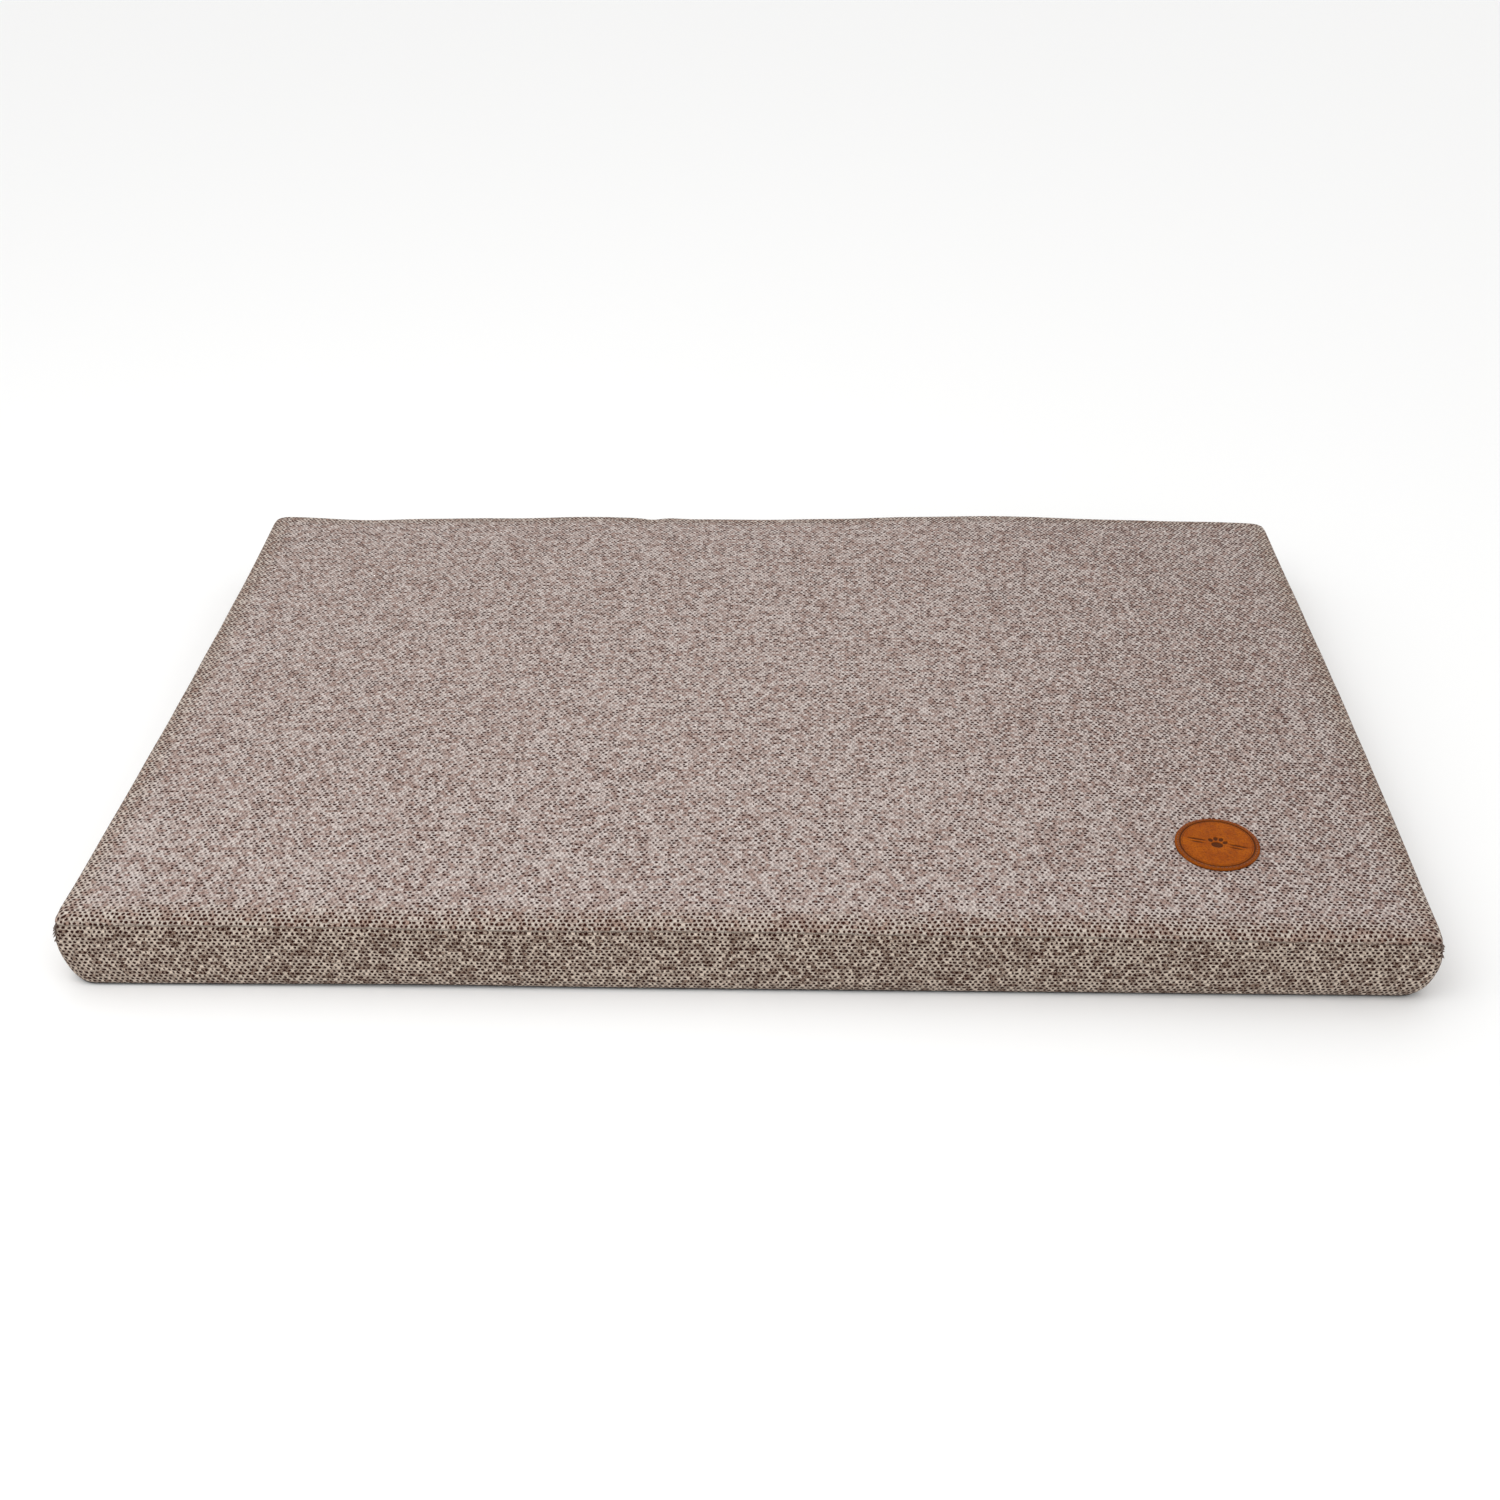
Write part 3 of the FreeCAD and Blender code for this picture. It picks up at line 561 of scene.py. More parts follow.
def leather_finish():
    """Smooth tan leather: a fine pebble grain, cloudy dye, and darker in its pressed lines, mark and stitch
    bed, which is the pressed leather's own colour together with painted shade in these hollows, and darker
    along its rim and round its edge.
    """
    leather = Finish("badge leather", 0.5, Specular_IOR_Level=0.05)
    place = leather.object_place()
    grain = leather.node("TexVoronoi", {"Vector": place, "Scale": 1700.0}).outputs[0]
    cloud = leather.noise(place, 130.0, 4.0, 0.65)
    fine = leather.noise(place, 900.0, 2.0, 0.6)
    dye = leather.blend(leather.ease(cloud, 0.3, 0.7), colour(0.27, 0.055, 0.002),
                        colour(0.375, 0.090, 0.003))
    dye = leather.blend(leather.ease(fine, 0.40, 0.80), dye, colour(0.17, 0.036, 0.003))
    # how much darker the leather is drawn: in the grooves, mark and stitch bed this is pressed leather's own
    # colour with painted shade in the hollows
    pressed = leather.node("Attribute", attribute_name="pressed").outputs["Fac"]
    pressed_dark_and_painted_shade = leather.times(pressed, 0.92)
    leather.set("Base Color", leather.blend(pressed_dark_and_painted_shade, dye, colour(0.032, 0.009, 0.003)))
    leather.set("Roughness", leather.scaled(cloud, 0.25, 0.42))
    leather.bump(leather.plus(grain, leather.times(fine, 0.5)), 0.10 * MM)
    return leather.material


def zip_enamel():
    """Dark brown enamel on cast metal, rubbed to bare metal in small worn spots."""
    metal = Finish("zip enamel", 0.35, Metallic=0.0)
    place = metal.object_place()
    wear = metal.noise(place, 420.0, 4.0, 0.7)
    rubbed = metal.ease(wear, 0.60, 0.72)
    metal.set("Base Color", metal.blend(rubbed, colour(0.055, 0.038, 0.030), colour(0.42, 0.40, 0.37)))
    metal.set("Metallic", rubbed)
    metal.set("Roughness", metal.scaled(wear, 0.3, 0.22))
    metal.bump(wear, 0.05 * MM)
    return metal.material


def nylon_finish():
    """Dark brown nylon monofilament with a soft shine and faint draw lines."""
    nylon = Finish("zip nylon", 0.38)
    place = nylon.object_place()
    streaks = nylon.noise(place, 1300.0, 2.0)
    nylon.set("Base Color", nylon.blend(streaks, colour(0.050, 0.032, 0.025), colour(0.085, 0.058, 0.046)))
    nylon.set("Roughness", nylon.scaled(streaks, 0.2, 0.3))
    nylon.bump(streaks, 0.03 * MM)
    return nylon.material


RIB_PITCH = 0.8 * MM


def zip_tape_finish():
    """Dark herringbone tape: slanting ribs that turn back every few threads, on object coordinates."""
    tape = Finish("zip tape", 0.85, Sheen_Weight=0.1)
    place = tape.object_place()
    parts = tape.node("SeparateXYZ", {0: place})
    fold = tape.math("PINGPONG", parts.outputs[2], 2.2 * MM)
    slant = tape.plus(parts.outputs[0], fold)
    rib = tape.math("SINE", tape.times(slant, 2 * math.pi / RIB_PITCH))
    mottle = tape.noise(place, 500.0, 2.0)
    light = tape.scaled(rib, 0.2, tape.scaled(mottle, 0.4, 0.8))
    tape.shade(colour(0.075, 0.054, 0.043), light)
    tape.bump(rib, 0.12 * MM)
    return tape.material


MATERIALS = {
    # the top and the band are one cloth: the top's lighter, greyer yarn tones are painted sheen
    "woven_top": woven_cloth(
        "woven top", cream=(0.68, 0.595, 0.555), dust=(0.34, 0.215, 0.178), brown=(0.17, 0.080, 0.062),
        dark=(0.032, 0.009, 0.006), closed_gap=0.62, open_share=0.56, rim_open=0.80, relief=0.8 * MM),
    # the band's darker dust, brown and gap colours and its stronger, darker gaps are painted shade in the
    # weave's recesses on the upright walls
    "woven_band": woven_cloth(
        "woven band", cream=(0.77, 0.645, 0.540), dust=(0.15, 0.078, 0.050), brown=(0.06, 0.024, 0.016),
        dark=(0.022, 0.004, 0.0025), closed_gap=0.92, open_share=1.0, rim_open=0.0, relief=1.2 * MM),
    "base_fabric": plain_cloth("base cloth", (0.040, 0.036, 0.036), 0.9 * MM, 0.2 * MM),
    "liner": plain_cloth("liner cloth", (0.80, 0.79, 0.75), 0.5 * MM, 0.1 * MM, variation=0.12),
    "foam": foam_finish(),
    "fibre": fibre_finish(),
    "seam_thread": thread_finish("seam thread", (0.16, 0.11, 0.085)),
    "base_thread": thread_finish("base thread", (0.035, 0.030, 0.030)),
    "badge_thread": thread_finish("badge thread", (0.24, 0.070, 0.020)),
    "badge_leather": leather_finish(),
    "zip_metal": zip_enamel(),
    "zip_nylon": nylon_finish(),
    "zip_tape": zip_tape_finish(),
}


def finish_piece(piece, slot, *nodes):
    """Gives the piece its material and slot, and hides the CAD nodes that it stands for."""
    piece.data.materials.append(MATERIALS[slot])
    if nodes:
        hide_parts(*nodes)


# ------------------------------------------------------------------ cover

COVER = Plan(220, 148)


def make_top_panel():
    """The grid covers the plan up to the rolled edge. Rows then go round the outline: across what is left
    of the flat, over the roll down to the seam, and a short tuck inwards."""
    x, y = COVER.grid(HALF_WIDTH - CAP_INSET, HALF_DEPTH - CAP_INSET, CORNER - CAP_INSET)
    flat = np.stack([x, y, RIM + crown(x, y)], -1).reshape(-1, 3)
    flat_uv = np.stack([x, y], -1).reshape(-1, 2)
    edge, _ = COVER.outline(HALF_WIDTH, HALF_DEPTH, CORNER)
    radius = edge_round(edge)
    lift = crown(edge[:, 0], edge[:, 1])
    over = CAP_INSET - radius
    turned_by = np.arccos(np.clip(1 - SEAM_DROP / radius, 0, 1))
    upright = np.maximum(SEAM_DROP - radius, 0)
    length = over + radius * turned_by + upright
    rows, row_uv = [], []
    for share in np.linspace(0, 1, 10)[1:]:
        run = share * length
        turn = np.clip((run - over) / radius, 0, turned_by)
        inset = np.where(run < over, CAP_INSET - run, radius * (1 - np.sin(turn)))
        drop = radius * (1 - np.cos(turn)) + np.clip(run - over - radius * turned_by, 0, None)
        place, outward = follow_outline(edge, inset, CORNER)
        rise = smooth((run - over) / (radius * turned_by))
        place = place + outward * (corner_point(outward, SEAM_Z) * rise)[:, None]
        rows.append(np.column_stack([place, RIM + lift - drop]))
        row_uv.append(follow_outline(edge, CAP_INSET - run, CORNER)[0])
    tuck = rows[-1].copy()
    tuck[:, :2] -= outward * 1.3 * MM
    tuck[:, 2] -= 0.5 * MM
    rows.append(tuck)
    row_uv.append(follow_outline(edge, CAP_INSET - length - 1.4 * MM, CORNER)[0])
    panel = make_mesh("top_panel_cloth", settle(np.concatenate([flat] + rows)),
                      COVER.skirted_faces(len(rows)), np.concatenate([flat_uv] + row_uv))
    thicken(panel, CLOTH)
    finish_piece(panel, "woven_top", "top_panel")


def edge_round(edge):
    """Radius of the rolled top edge: fuller along the front than on the other sides, and tight at the
    corners, from which it grows to its full size over 60 mm along each side."""
    from_corner = np.hypot(HALF_WIDTH - np.abs(edge[:, 0]), HALF_DEPTH - np.abs(edge[:, 1]))
    full = SIDE_ROUND + (FRONT_ROUND - SIDE_ROUND) * smooth((0.02 - HALF_DEPTH - edge[:, 1]) / 0.02)
    return CORNER_ROUND + (full - CORNER_ROUND) * smooth(from_corner / (60 * MM))


def roll_inset(drop, radius):
    """How far in a quarter round of this radius lies at a depth below its top."""
    rise = np.clip(radius - drop, 0, radius)
    return radius - np.sqrt(radius ** 2 - rise ** 2)


def follow_outline(edge, inset, radius):
    """Moves outline points on to a rounded rectangle that is smaller by the inset: each point goes
    towards the nearest place on the rectangle of corner centres, to stop a radius from it."""
    half = np.array([HALF_WIDTH, HALF_DEPTH])
    centre = np.clip(edge, -half + radius, half - radius)
    outward = edge - centre
    outward = outward / np.linalg.norm(outward, axis=1)[:, None]
    reach = np.broadcast_to(np.asarray(radius - inset, float), (len(edge),))
    return centre + outward * reach[:, None], outward


def corner_point(outward, z):
    """How far a corner is drawn out: a bell round its diagonal, full at the seam and fading below it."""
    diagonal = np.abs(outward[:, 0] * outward[:, 1]) * 2
    return CORNER_POINT * diagonal ** 4 * smooth((z - SEAM_Z + 42 * MM) / (30 * MM))


def wall_size(z):
    """At a height, how far the wall turns under at the base, in a quarter ellipse, and its corner radius,
    which opens out below half height."""
    low = min(max((BASE_ROUND - z) / BASE_ROUND, 0), 1)
    share = min(max(1 - z / (0.5 * RIM), 0), 1)
    radius = CORNER + (BASE_CORNER - CORNER) * (1 - math.sqrt(1 - 0.96 * share ** 2))
    return BASE_TUCK * (1 - math.sqrt(1 - 0.97 * low ** 2)), radius


def wall_point(edge, z):
    """Plan place of the wall at a height: under the top edge's roll, a straight face, then the turn under."""
    tuck, radius = wall_size(z)
    place, outward = follow_outline(edge, roll_inset(RIM - z, edge_round(edge)) + tuck, radius)
    return place + outward * corner_point(outward, z)[:, None], outward


def back_wall(x, z):
    """Depth of the plain back wall, before it dips to the zip."""
    edge = np.column_stack([x, np.full(len(x), HALF_DEPTH)])
    return wall_point(edge, z)[0][:, 1]


def wall_crown(row, z):
    """How far a row of the wall rises with the crown: all of it at the top seam, none at CROWN_FADE."""
    return crown(row[:, 0], row[:, 1]) * smooth((z - CROWN_FADE) / (SEAM_Z - CROWN_FADE))


def cover_edge():
    """The cover's outline, its nearest points moved on to the zip's ends, and which lie between them."""
    edge, _ = COVER.outline(HALF_WIDTH, HALF_DEPTH, CORNER)
    back = np.flatnonzero(edge[:, 1] > HALF_DEPTH - 1e-6)
    for end in (-ZIP_END, ZIP_END):
        edge[back[np.argmin(np.abs(edge[back, 0] - end))], 0] = end
    on_back = np.zeros(len(edge), bool)
    on_back[back] = np.abs(edge[back, 0]) < ZIP_END + 1e-6
    return edge, on_back


def run_along(edge):
    """Distance round the outline from its first point."""
    step = np.linalg.norm(np.roll(edge, -1, 0) - edge, axis=1)
    return np.concatenate([[0], np.cumsum(step)[:-1]])


def make_side_band():
    """Rows round the outline from the top seam to the base seam, left open at the back for the zip."""
    edge, on_back = cover_edge()
    chosen = np.flatnonzero(~on_back | (np.abs(edge[:, 0]) > ZIP_END - 1e-6))
    along = run_along(edge)
    share = np.linspace(0, 1, 20)
    eased = 0.6 * share + 0.4 * (0.5 - 0.5 * np.cos(np.pi * share))
    levels = SEAM_Z - 0.2 * MM + (BASE_SEAM_Z - SEAM_Z) * eased
    rows, uv = [], []
    run = np.zeros(len(edge))
    for number, z in enumerate(levels):
        place, outward = wall_point(edge, z)
        if number == 0:
            place = place - outward * 1.0 * MM
            z = z + 0.5 * MM
        row = at_height(place, z)
        row[:, 2] += wall_crown(row, z)
        if rows:
            run = run + np.linalg.norm(row - last, axis=1)
        last = row
        rows.append(row[chosen])
        uv.append(np.column_stack([along, -run])[chosen])
    points = settle(np.concatenate(rows))
    band = make_mesh("side_band_cloth", points, grid_quads(len(rows), len(chosen)), np.concatenate(uv))
    thicken(band, CLOTH)
    finish_piece(band, "woven_band", "side_band")


def make_base_panel():
    """A flat sheet on the floor whose edge turns up in a parabola to the seam."""
    tuck, radius = wall_size(BASE_SEAM_Z)
    lip = 2.4 * MM
    size = (HALF_WIDTH - tuck - lip, HALF_DEPTH - tuck - lip, radius - lip)
    x, y = COVER.grid(*size)
    flat = np.stack([x, y, np.full_like(x, 0.1 * MM)], -1).reshape(-1, 3)
    edge, outward = COVER.outline(*size)
    rows = [at_height(edge + outward * lip * share, (0.1 + 1.3 * share ** 2) * MM)
            for share in (0.35, 0.7, 1.0)]
    points = np.concatenate([flat] + rows)
    base = make_mesh("base_cloth", settle(points), COVER.skirted_faces(len(rows))[:, ::-1],
                     points[:, :2].copy())
    thicken(base, 0.8 * MM)
    finish_piece(base, "base_fabric", "base_panel")


def frayed_ends():
    """Short loose yarn ends at the two front corners, from the top seam down: each leaves the wall
    outwards and droops in a parabola, thickest in its middle."""
    draw = np.random.default_rng(5)
    edge, _ = COVER.outline(HALF_WIDTH, HALF_DEPTH, CORNER)
    share = np.linspace(0, 1, 9)
    radius = 0.05 * MM + 0.4 * MM * np.sqrt(1 - (2 * share - 1) ** 4)
    strands = []
    for side in (-1.0, 1.0):
        for _ in range(16):
            start = SEAM_Z + draw.uniform(-11.0, 1.0) * MM
            place, outward = wall_point(edge, start)
            corner = place[np.argmax(outward @ np.array([side, -1.0]))]
            turn = math.atan2(-1.0, side) + draw.uniform(-1.0, 1.0)
            reach = draw.uniform(1.8, 3.2) * MM
            lean = draw.uniform(-0.6, 0.9)
            out = reach * share - 1.0 * MM
            path = np.column_stack([corner[0] + out * math.cos(turn), corner[1] + out * math.sin(turn),
                                    start + reach * (lean * share - 0.7 * share ** 2)])
            strands.append(tube_along(settle(path), radius, 6))
    return strands


def make_seam_threads():
    """Thread lines in the grooves of the top seam and the base seam, as thin tubes round the outline. The
    top one has loose yarn ends at the front corners."""
    edge, _ = COVER.outline(HALF_WIDTH, HALF_DEPTH, CORNER)
    for name, z, inward, radius, slot, node in (
            ("top_seam_thread", SEAM_Z, 1.2 * MM, 0.35 * MM, "seam_thread", "top_seam"),
            ("base_seam_thread", BASE_SEAM_Z, -0.1 * MM, 0.4 * MM, "base_thread", "base_seam")):
        place, outward = wall_point(edge, z)
        path = at_height(place - outward * inward, z)
        if slot == "seam_thread":
            path[:, 2] += crown(path[:, 0], path[:, 1])
        tubes = [tube_along(settle(path), radius, 6, closed=True)]
        if slot == "seam_thread":
            tubes += frayed_ends()
        firsts = np.cumsum([0] + [len(points) for points, _ in tubes])
        quads = np.concatenate([faces + first for (_, faces), first in zip(tubes, firsts)])
        finish_piece(make_mesh(name, np.concatenate([points for points, _ in tubes]), quads), slot, node)


# ------------------------------------------------------------------ fill


def closed_pad(name, plan, half_width, half_depth, shift_y, low, top, radius, rounding):
    """A closed soft block: the plan grid above and below, joined by a wall with rounded edges.
    top is a function of x and y that gives the upper face's height."""
    def ring(inward):
        edge, _ = plan.outline(half_width - inward, half_depth - inward, radius - inward)
        return edge

    x, y = plan.grid(half_width - rounding, half_depth - rounding, radius - rounding)
    upper = np.stack([x, y, top(x, y)], -1).reshape(-1, 3)
    lower = np.stack([x, y, np.full_like(x, low)], -1).reshape(-1, 3)
    rows = []
    for turn in np.radians([30, 60, 90]):
        edge = ring(rounding * (1 - math.sin(turn)))
        rows.append(np.column_stack([edge, top(edge[:, 0], edge[:, 1]) - rounding * (1 - math.cos(turn))]))
    for turn in np.radians([90, 60, 30]):
        edge = ring(rounding * (1 - math.sin(turn)))
        rows.append(at_height(edge, low + rounding * (1 - math.cos(turn))))
    rim = plan.rim()
    around = np.arange(len(rim))
    last = len(upper) + (len(rows) - 1) * len(rim)
    below = last + len(rim)
    closing = np.stack([last + around, below + rim, below + np.roll(rim, -1),
                        last + (around + 1) % len(rim)], -1)
    quads = [plan.skirted_faces(len(rows)), closing, plan.grid_faces(below)[:, ::-1]]
    points = np.concatenate([upper] + rows + [lower])
    uv = points[:, :2].copy()
    points[:, 1] += shift_y
    return make_mesh(name, settle(points), np.concatenate(quads), uv)


FILL = Plan(120, 80)
FILL_CORNER = 30.0 * MM


def make_fill():
    """Foam slab, fibre layer and the two halves of the inner case, nested inside the cover."""
    foam_low, foam_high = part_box("foam_core")
    fibre_low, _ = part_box("fibre_wadding")
    room = 3.2 * MM
    half_width = HALF_WIDTH - BASE_TUCK - room
    half_depth = 0.5 * (foam_high.y - foam_low.y) - BASE_TUCK + 0.5 * MM
    shift = 0.5 * (foam_high.y + foam_low.y) + 1.5 * MM
    foam = closed_pad("foam_slab", FILL, half_width, half_depth, shift, foam_low.z + 1.2 * MM,
                      lambda x, y: np.full_like(x, foam_high.z - 2.0 * MM), FILL_CORNER, 3.0 * MM)
    finish_piece(foam, "foam", "foam_core")

    def fibre_top(x, y):
        return fibre_low.z + 3.2 * MM + crown(x, y) * 0.95 - 2.0 * MM

    fibre = closed_pad("fibre_fill", FILL, half_width, half_depth, shift, foam_high.z - 1.9 * MM,
                       fibre_top, FILL_CORNER, 1.2 * MM)
    finish_piece(fibre, "fibre", "fibre_wadding")
    make_inner_case(half_width + 0.5 * MM, half_depth + 0.5 * MM, shift, foam_low.z + 0.6 * MM, foam_high.z,
                    lambda x, y: fibre_top(x, y) + 0.5 * MM)


def make_inner_case(half_width, half_depth, shift, low, seam_z, top):
    """Two thin shells: a lid with the crown and its upper wall, and a tray with the lower wall."""
    middle = 0.5 * (low + seam_z)
    round_edge = 1.5 * MM
    x, y = FILL.grid(half_width - round_edge, half_depth - round_edge, FILL_CORNER - round_edge)
    edge, outward = FILL.outline(half_width - round_edge, half_depth - round_edge, FILL_CORNER - round_edge)
    count = len(edge)
    for name, node, flip, cap, wall in (
            ("inner_case_lid", "inner_liner_upper", False, top(x, y), top(edge[:, 0], edge[:, 1])),
            ("inner_case_tray", "inner_liner_lower", True, np.full_like(x, low), np.full(count, low))):
        way = 1.0 if flip else -1.0
        heights = [wall + way * round_edge * 0.3, wall + way * round_edge,
                   np.full(count, middle - way * 0.4 * MM)]
        outs = [round_edge * 0.7, round_edge, round_edge]
        rows = [np.column_stack([edge + outward * o, h]) for o, h in zip(outs, heights)]
        flat = np.stack([x, y, cap], -1).reshape(-1, 3)
        quads = FILL.skirted_faces(len(rows))
        if flip:
            quads = quads[:, ::-1]
        points = np.concatenate([flat] + rows)
        uv = points[:, :2].copy()
        points[:, 1] += shift
        case = make_mesh(name, settle(points), quads, uv)
        thicken(case, 0.35 * MM)
        finish_piece(case, "liner", node)


# ------------------------------------------------------------------ back wall


def zip_wall(x, z, seam_z, fold_z):
    """Depth of the back strips: from the plain wall at the seam, an S curve in to the tape at the folded
    edge, fading out over the last 6 mm at either end."""
    share = (z - seam_z) / (fold_z - seam_z)
    ends = smooth((ZIP_END - np.abs(x)) / (6 * MM))
    plain = back_wall(x, z)
    return plain + (strip_high.y + 0.3 * MM - plain) * smooth(share * 1.15) * ends


def back_strip_edges():
    """For the upper and the lower strip: name, CAD node, seam height, folded edge's height, way up."""
    half_gap = strip_low.z - ZIP_HEIGHT
    return (("upper", SEAM_Z + 0.2 * MM, ZIP_HEIGHT + half_gap, 1.0),
            ("lower", BASE_SEAM_Z, ZIP_HEIGHT - half_gap, -1.0))


def make_back_strips():
    """The strips run from a seam to a folded edge by the zip: away from the ends each dips in to the tape,
    and at its folded edge the cloth turns back on itself. Past the zip's stops the two edges meet."""
    edge, on_back = cover_edge()
    x = np.sort(edge[on_back][:, 0])
    closing = (ZIP_HEIGHT - strip_low.z) * smooth((np.abs(x) - ZIP_END + 21 * MM) / (10 * MM))
    for side, seam_z, fold_z, way in back_strip_edges():
        levels = seam_z + (fold_z - seam_z) * np.linspace(0, 1, 16)
        rows = [np.column_stack([x, zip_wall(x, z, seam_z, fold_z), np.full(len(x), z)]) for z in levels]
        for row, z in zip(rows, levels):
            row[:, 2] += wall_crown(row, z)
        uv = [np.column_stack([-x, np.full(len(x), z)]) for z in levels]
        # the folded edge: half a turn of small radius, then back behind the strip
        small = 0.7 * MM
        last_y = rows[-1][:, 1]
        for number, turn in enumerate(np.radians([45, 90, 135, 180])):
            rows.append(np.column_stack([x, last_y - small * (1 - math.cos(turn)),
                                         np.full(len(x), fold_z - way * small * math.sin(turn))]))
            uv.append(np.column_stack([-x, np.full(len(x), fold_z - way * small * (number + 1))]))
        rows.append(np.column_stack([x, last_y - 2 * small, np.full(len(x), fold_z + way * 5 * MM)]))
        for number, (row, flat) in enumerate(zip(rows, uv)):
            row[:, 2] += way * closing * min(number / 15, 1)
            flat[:, 1] += way * closing * min(number / 15, 1)
        uv.append(np.column_stack([-x, np.full(len(x), fold_z - way * 8 * MM)]))
        quads = grid_quads(len(rows), len(x))
        if way > 0:
            quads = quads[:, ::-1]
        strip = make_mesh("back_strip_%s_cloth" % side, settle(np.concatenate(rows)), quads,
                          np.concatenate(uv))
        thicken(strip, 0.6 * MM)
        finish_piece(strip, "woven_band", "back_strip_" + side)


def make_zip_rows():
    """Stitched rows beside the zip, one bead every few millimetres."""
    pitch = 3.2 * MM
    reach = ZIP_END - 22 * MM
    x = np.arange(-reach, reach, pitch)
    for side, seam_z, fold_z, way in back_strip_edges():
        z = fold_z + way * 2.2 * MM
        y = zip_wall(x, z, seam_z, fold_z) + 0.15 * MM
        centres = settle(np.column_stack([x, y, np.full(len(x), z)]))
        row = stitches("zip_row_" + side, centres, ALONG_X, ALONG_Y, 2.5 * MM, 0.35 * MM)
        finish_piece(row, "seam_thread", "zip_stitching_" + side)


def make_coils():
    """Each coil is a flattened helix: a turn for every tooth, its inner bend just short of the middle."""
    pitch = 1.5 * MM
    wire = 0.36 * MM
    steps = 10
    low_x, high_x = coil_low.x + wire, coil_high.x - wire
    turns = int((high_x - low_x) / pitch)
    for side, way in (("upper", 1.0), ("lower", -1.0)):
        angle = 2 * np.pi * np.arange(turns * steps + 1) / steps
        inner = (coil_low.z - ZIP_HEIGHT) + wire
        outer = (coil_high.z - ZIP_HEIGHT) - wire
        middle, swing = 0.5 * (inner + outer), 0.5 * (outer - inner)
        height = 0.5 * (coil_high.y - coil_low.y) - wire
        shift = 0.0 if way > 0 else 0.5 * pitch
        path = np.column_stack([low_x + shift * 0.9 + angle / (2 * np.pi) * pitch * (1 - 0.5 / turns),
                                CHAIN_Y + height * np.sin(angle),
                                ZIP_HEIGHT + way * (middle - swing * np.cos(angle))])
        points, quads = tube_along(path, wire, 6)
        finish_piece(make_mesh("zip_teeth_" + side, points, quads), "zip_nylon", "zip_coil_" + side)


def make_end_seams():
    """Upright stitched lines where the boxing strip's ends meet the zip panel."""
    levels = np.arange(BASE_SEAM_Z + 3 * MM, SEAM_Z - 2 * MM, 3.0 * MM)
    centres = []
    for side in (-1.0, 1.0):
        x = np.full(1, side * (ZIP_END + 1.2 * MM))
        y = np.array([back_wall(x, z)[0] for z in levels])
        centres.append(np.column_stack([np.full(len(levels), x[0]), y + 0.1 * MM, levels]))
    centres = settle(np.concatenate(centres))
    row = stitches("end_seam_stitches", centres, ALONG_Z, ALONG_Y, 2.3 * MM, 0.35 * MM)
    finish_piece(row, "seam_thread", "band_end_seams")


# ------------------------------------------------------------------ badge

BADGE_HALF = (30.3 * MM, 28.3 * MM)
BADGE_TURN = math.radians(68.0)
BADGE_THICKNESS = 1.8 * MM
BADGE_REACH = 28.0          # nominal, in millimetres, for distances in from the badge's edge
STITCH_INSET = 1.9          # how far in its stitches lie, in millimetres
EMBLEM_TURN = math.radians(-15.0)
# a plain paw: each pad is (x, y, half width, half height, turn), in millimetres
PAW = [(0.0, -2.4, 4.0, 3.1, 0.0), (-4.9, 1.8, 1.5, 2.1, 0.5), (-1.8, 4.4, 1.5, 2.2, 0.15),
       (1.8, 4.4, 1.5, 2.2, -0.15), (4.9, 1.8, 1.5, 2.1, -0.5)]
BARS = [(-14.0, 0.6, 6.4, 0.85, 0.0), (14.0, 0.6, 6.4, 0.85, 0.0),
        (-13.0, -2.6, 4.4, 0.65, 0.0), (13.0, -2.6, 4.4, 0.65, 0.0)]


def turned(x, y, angle):
    return x * math.cos(angle) - y * math.sin(angle), x * math.sin(angle) + y * math.cos(angle)


def emblem(x, y):
    """1 inside the pressed mark and 0 outside, with a soft edge: a sum of ellipses."""
    local_x, local_y = turned(x, y, -EMBLEM_TURN)
    mark = np.zeros_like(x)
    for middle_x, middle_y, half_x, half_y, turn in PAW + BARS:
        side, up = turned(local_x / MM - middle_x, local_y / MM - middle_y, -turn)
        reach = np.sqrt((side / half_x) ** 2 + (up / half_y) ** 2)
        soft = 0.25 / min(half_x, half_y)
        mark = np.maximum(mark, smooth((1 + soft - reach) / (2 * soft)))
    return mark


def badge_place(share, angle):
    """Plan offset from the badge's centre: a share of the ellipse's own radius at each angle."""
    x, y = turned(BADGE_HALF[0] * np.cos(angle) * share, BADGE_HALF[1] * np.sin(angle) * share, BADGE_TURN)
    return x, y


def panel_height(x, y):
    return RIM + crown(x, y)


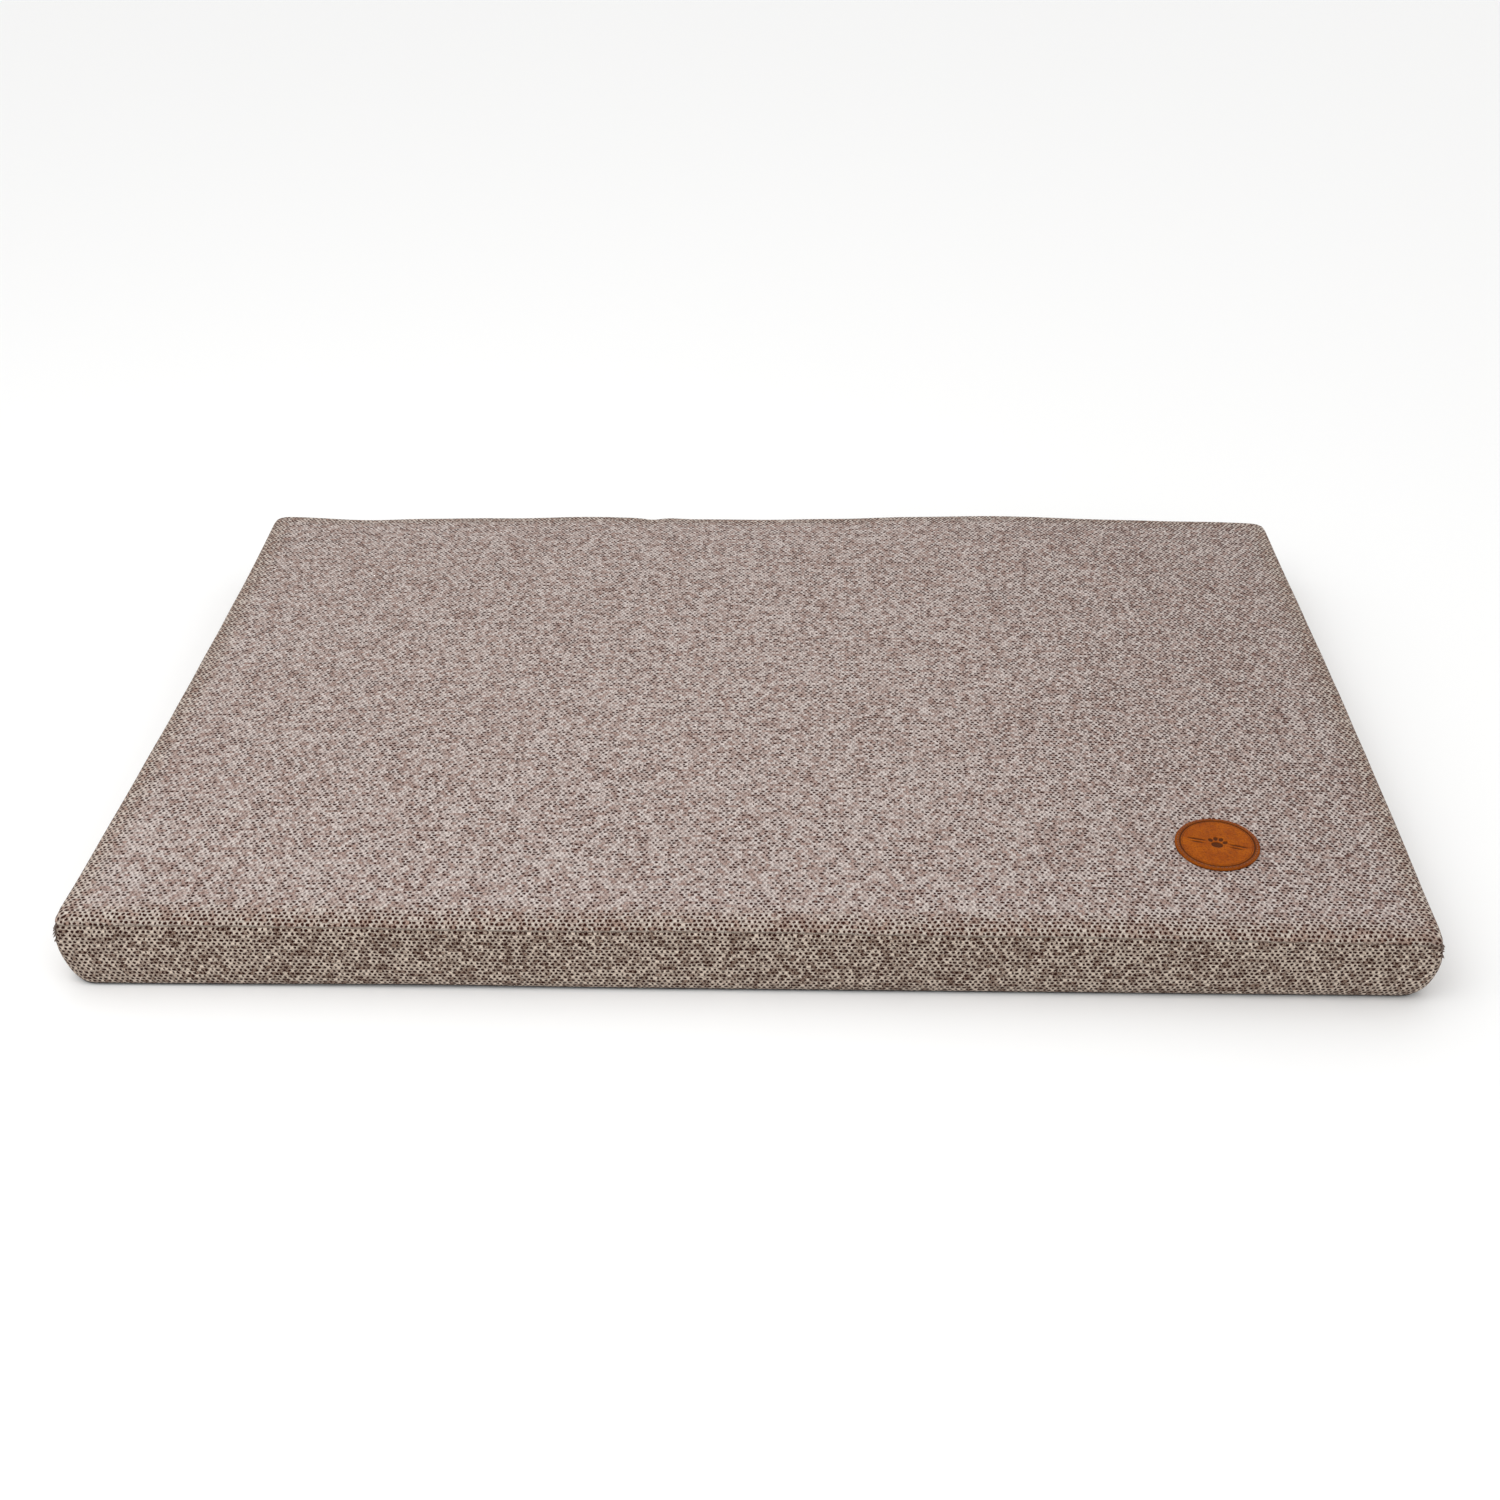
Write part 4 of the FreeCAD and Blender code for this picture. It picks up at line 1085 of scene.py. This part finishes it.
def make_badge():
    """Rings from the middle out. Height over the cloth: the thickness, eased down over the rounded edge,
    less two pressed lines near the edge and the pressed mark; a last ring closes it underneath."""
    rings, around = 96, 220
    share = np.concatenate([np.linspace(0.004, 0.955, rings), [0.972, 0.986, 0.996, 1.0, 0.997, 0.985, 0.6]])
    angle = 2 * np.pi * np.arange(around) / around
    share_grid, angle_grid = np.meshgrid(share, angle, indexing="ij")
    x, y = badge_place(share_grid, angle_grid)
    inward = (1 - share_grid) * BADGE_REACH * MM
    mark = emblem(x, y)
    groove = np.exp(-((inward - 3.5 * MM) / (0.55 * MM)) ** 2)
    fine_groove = 0.6 * np.exp(-((inward - 4.9 * MM) / (0.25 * MM)) ** 2)
    stitch_bed = 0.35 * np.exp(-((inward - STITCH_INSET * MM) / (0.45 * MM)) ** 2)
    pillow = 0.25 * MM * np.clip(1 - (share_grid / 0.86) ** 4, 0, 1)
    height = BADGE_THICKNESS + pillow - 0.38 * MM * groove - 0.3 * MM * fine_groove - 0.25 * MM * stitch_bed
    height -= 0.32 * MM * mark
    drop = np.concatenate([np.zeros(rings), [0.06, 0.22, 0.55, 0.95, 1.4, 1.7, 1.75]]) * MM
    height -= drop[:, None]
    rim_darkening = 0.30 * smooth((3.6 * MM - inward) / (0.8 * MM))
    # darker colour: the pressed leather's own colour with painted shade in the grooves, stitch bed and mark,
    # darker along the rim, and round the edge and underneath
    pressed = np.clip(groove + 0.9 * fine_groove + 0.45 * stitch_bed + 0.9 * mark + rim_darkening, 0, 1)
    pressed[rings + 2:] = np.maximum(pressed[rings + 2:], 0.35)
    world_x, world_y = x + BADGE_CENTRE[0], y + BADGE_CENTRE[1]
    points = np.stack([world_x, world_y, panel_height(world_x, world_y) + height], -1).reshape(-1, 3)
    quads = grid_quads(len(share), around, False, True)
    caps = []
    for ring in (0, len(share) - 1):
        index = ring * around + np.arange(around)
        half = around // 2
        # two fans of four-sided faces across the ring
        low, high = index[:half], index[::-1][:half]
        fan = np.stack([low[:-1], low[1:], high[1:], high[:-1]], -1)
        caps.append(fan if ring else fan[:, ::-1])
    quads = np.concatenate([quads] + caps)
    badge = make_mesh("leather_badge_disc", settle(points), quads)
    field = badge.data.attributes.new("pressed", "FLOAT", "POINT")
    field.data.foreach_set("value", pressed.ravel().astype(np.float32))
    finish_piece(badge, "badge_leather", "leather_badge")


def make_badge_stitches():
    """Stitches in the rim, evenly spaced along the ellipse."""
    count = 62
    share = 1 - STITCH_INSET / BADGE_REACH
    angle = 2 * np.pi * (np.arange(count) + 0.5) / count
    x, y = badge_place(share, angle)
    ahead_x, ahead_y = badge_place(share, angle + 0.01)
    direction = np.stack([ahead_x - x, ahead_y - y, np.zeros(count)], -1)
    direction /= np.linalg.norm(direction, axis=1)[:, None]
    world_x, world_y = x + BADGE_CENTRE[0], y + BADGE_CENTRE[1]
    z = panel_height(world_x, world_y) + BADGE_THICKNESS - 0.08 * MM
    centres = settle(np.column_stack([world_x, world_y, z]))
    ring = stitches("badge_stitch_ring", centres, direction, ALONG_Z, 2.1 * MM, 0.27 * MM)
    finish_piece(ring, "badge_thread", "badge_stitching")


# ------------------------------------------------------------------ kept CAD nodes


def refinish(nodes, slot):
    """Gives CAD nodes that stay in view a better material, in every slot they have."""
    for node in nodes:
        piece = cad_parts[node]
        for index in range(len(piece.material_slots)):
            piece.material_slots[index].material = MATERIALS[slot]


# ------------------------------------------------------------------ stage


def make_stage():
    """A pale floor, an even white surround, a soft key from above the front left and a wide lamp overhead."""
    size = 9.0
    floor = bpy.data.meshes.new("floor")
    floor.from_pydata([(-size, -size, -0.0004), (size, -size, -0.0004), (size, size, -0.0004),
                       (-size, size, -0.0004)], [], [(0, 1, 2, 3)])
    stage = bpy.data.objects.new("floor", floor)
    bpy.context.scene.collection.objects.link(stage)
    pale = Finish("pale floor", 0.8)
    pale.set("Base Color", colour(0.90, 0.90, 0.895))
    stage.data.materials.append(pale.material)
    world = bpy.data.worlds.new("soft surround")
    world.use_nodes = True
    world.node_tree.nodes["Background"].inputs[0].default_value = colour(1.0, 1.0, 1.0)
    world.node_tree.nodes["Background"].inputs[1].default_value = 1.0
    bpy.context.scene.world = world
    for name, place, aim, side, power in (
            ("key", (-0.42, -0.62, 1.15), (-0.1, -0.1, 0.0), 0.9, 4.2),
            ("overhead", (-0.5, 0.1, 2.6), (0.0, 0.0, 0.0), 1.8, 4.2)):
        lamp = bpy.data.lights.new(name, "AREA")
        lamp.energy = power
        lamp.size = side
        holder = bpy.data.objects.new(name, lamp)
        holder.location = place
        way = Vector(aim) - Vector(place)
        holder.rotation_euler = way.to_track_quat("-Z", "Y").to_euler()
        bpy.context.scene.collection.objects.link(holder)


def make_camera():
    """Looks down at the front, a little from the right, from about one and a half metres."""
    azimuth, elevation, roll = math.radians(2.34), math.radians(32.85), math.radians(-0.70)
    distance = 1.4934
    target = Vector((-0.0045, 0.0, -0.0023))
    back = Vector((math.sin(azimuth) * math.cos(elevation), -math.cos(azimuth) * math.cos(elevation),
                   math.sin(elevation)))
    right = Vector((math.cos(azimuth), math.sin(azimuth), 0.0))
    up = back.cross(right)
    turned_right = right * math.cos(roll) + up * math.sin(roll)
    turned_up = up * math.cos(roll) - right * math.sin(roll)
    lens = bpy.data.cameras.new("camera")
    lens.sensor_width = 36.0
    lens.lens = 45.03
    camera = bpy.data.objects.new("camera", lens)
    turn = Matrix((turned_right, turned_up, back)).transposed().to_4x4()
    camera.matrix_world = Matrix.Translation(target + back * distance) @ turn
    bpy.context.scene.collection.objects.link(camera)
    bpy.context.scene.camera = camera


make_camera()
make_stage()
bpy.context.scene.view_settings.view_transform = "Standard"
make_fill()
make_top_panel()
make_side_band()
make_base_panel()
make_seam_threads()
make_back_strips()
make_zip_rows()
make_coils()
make_end_seams()
make_badge()
make_badge_stitches()
refinish(["zip_slider", "zip_pull", "zip_top_stops", "zip_bottom_stop"], "zip_metal")
refinish(["zip_tape_upper", "zip_tape_lower"], "zip_tape")
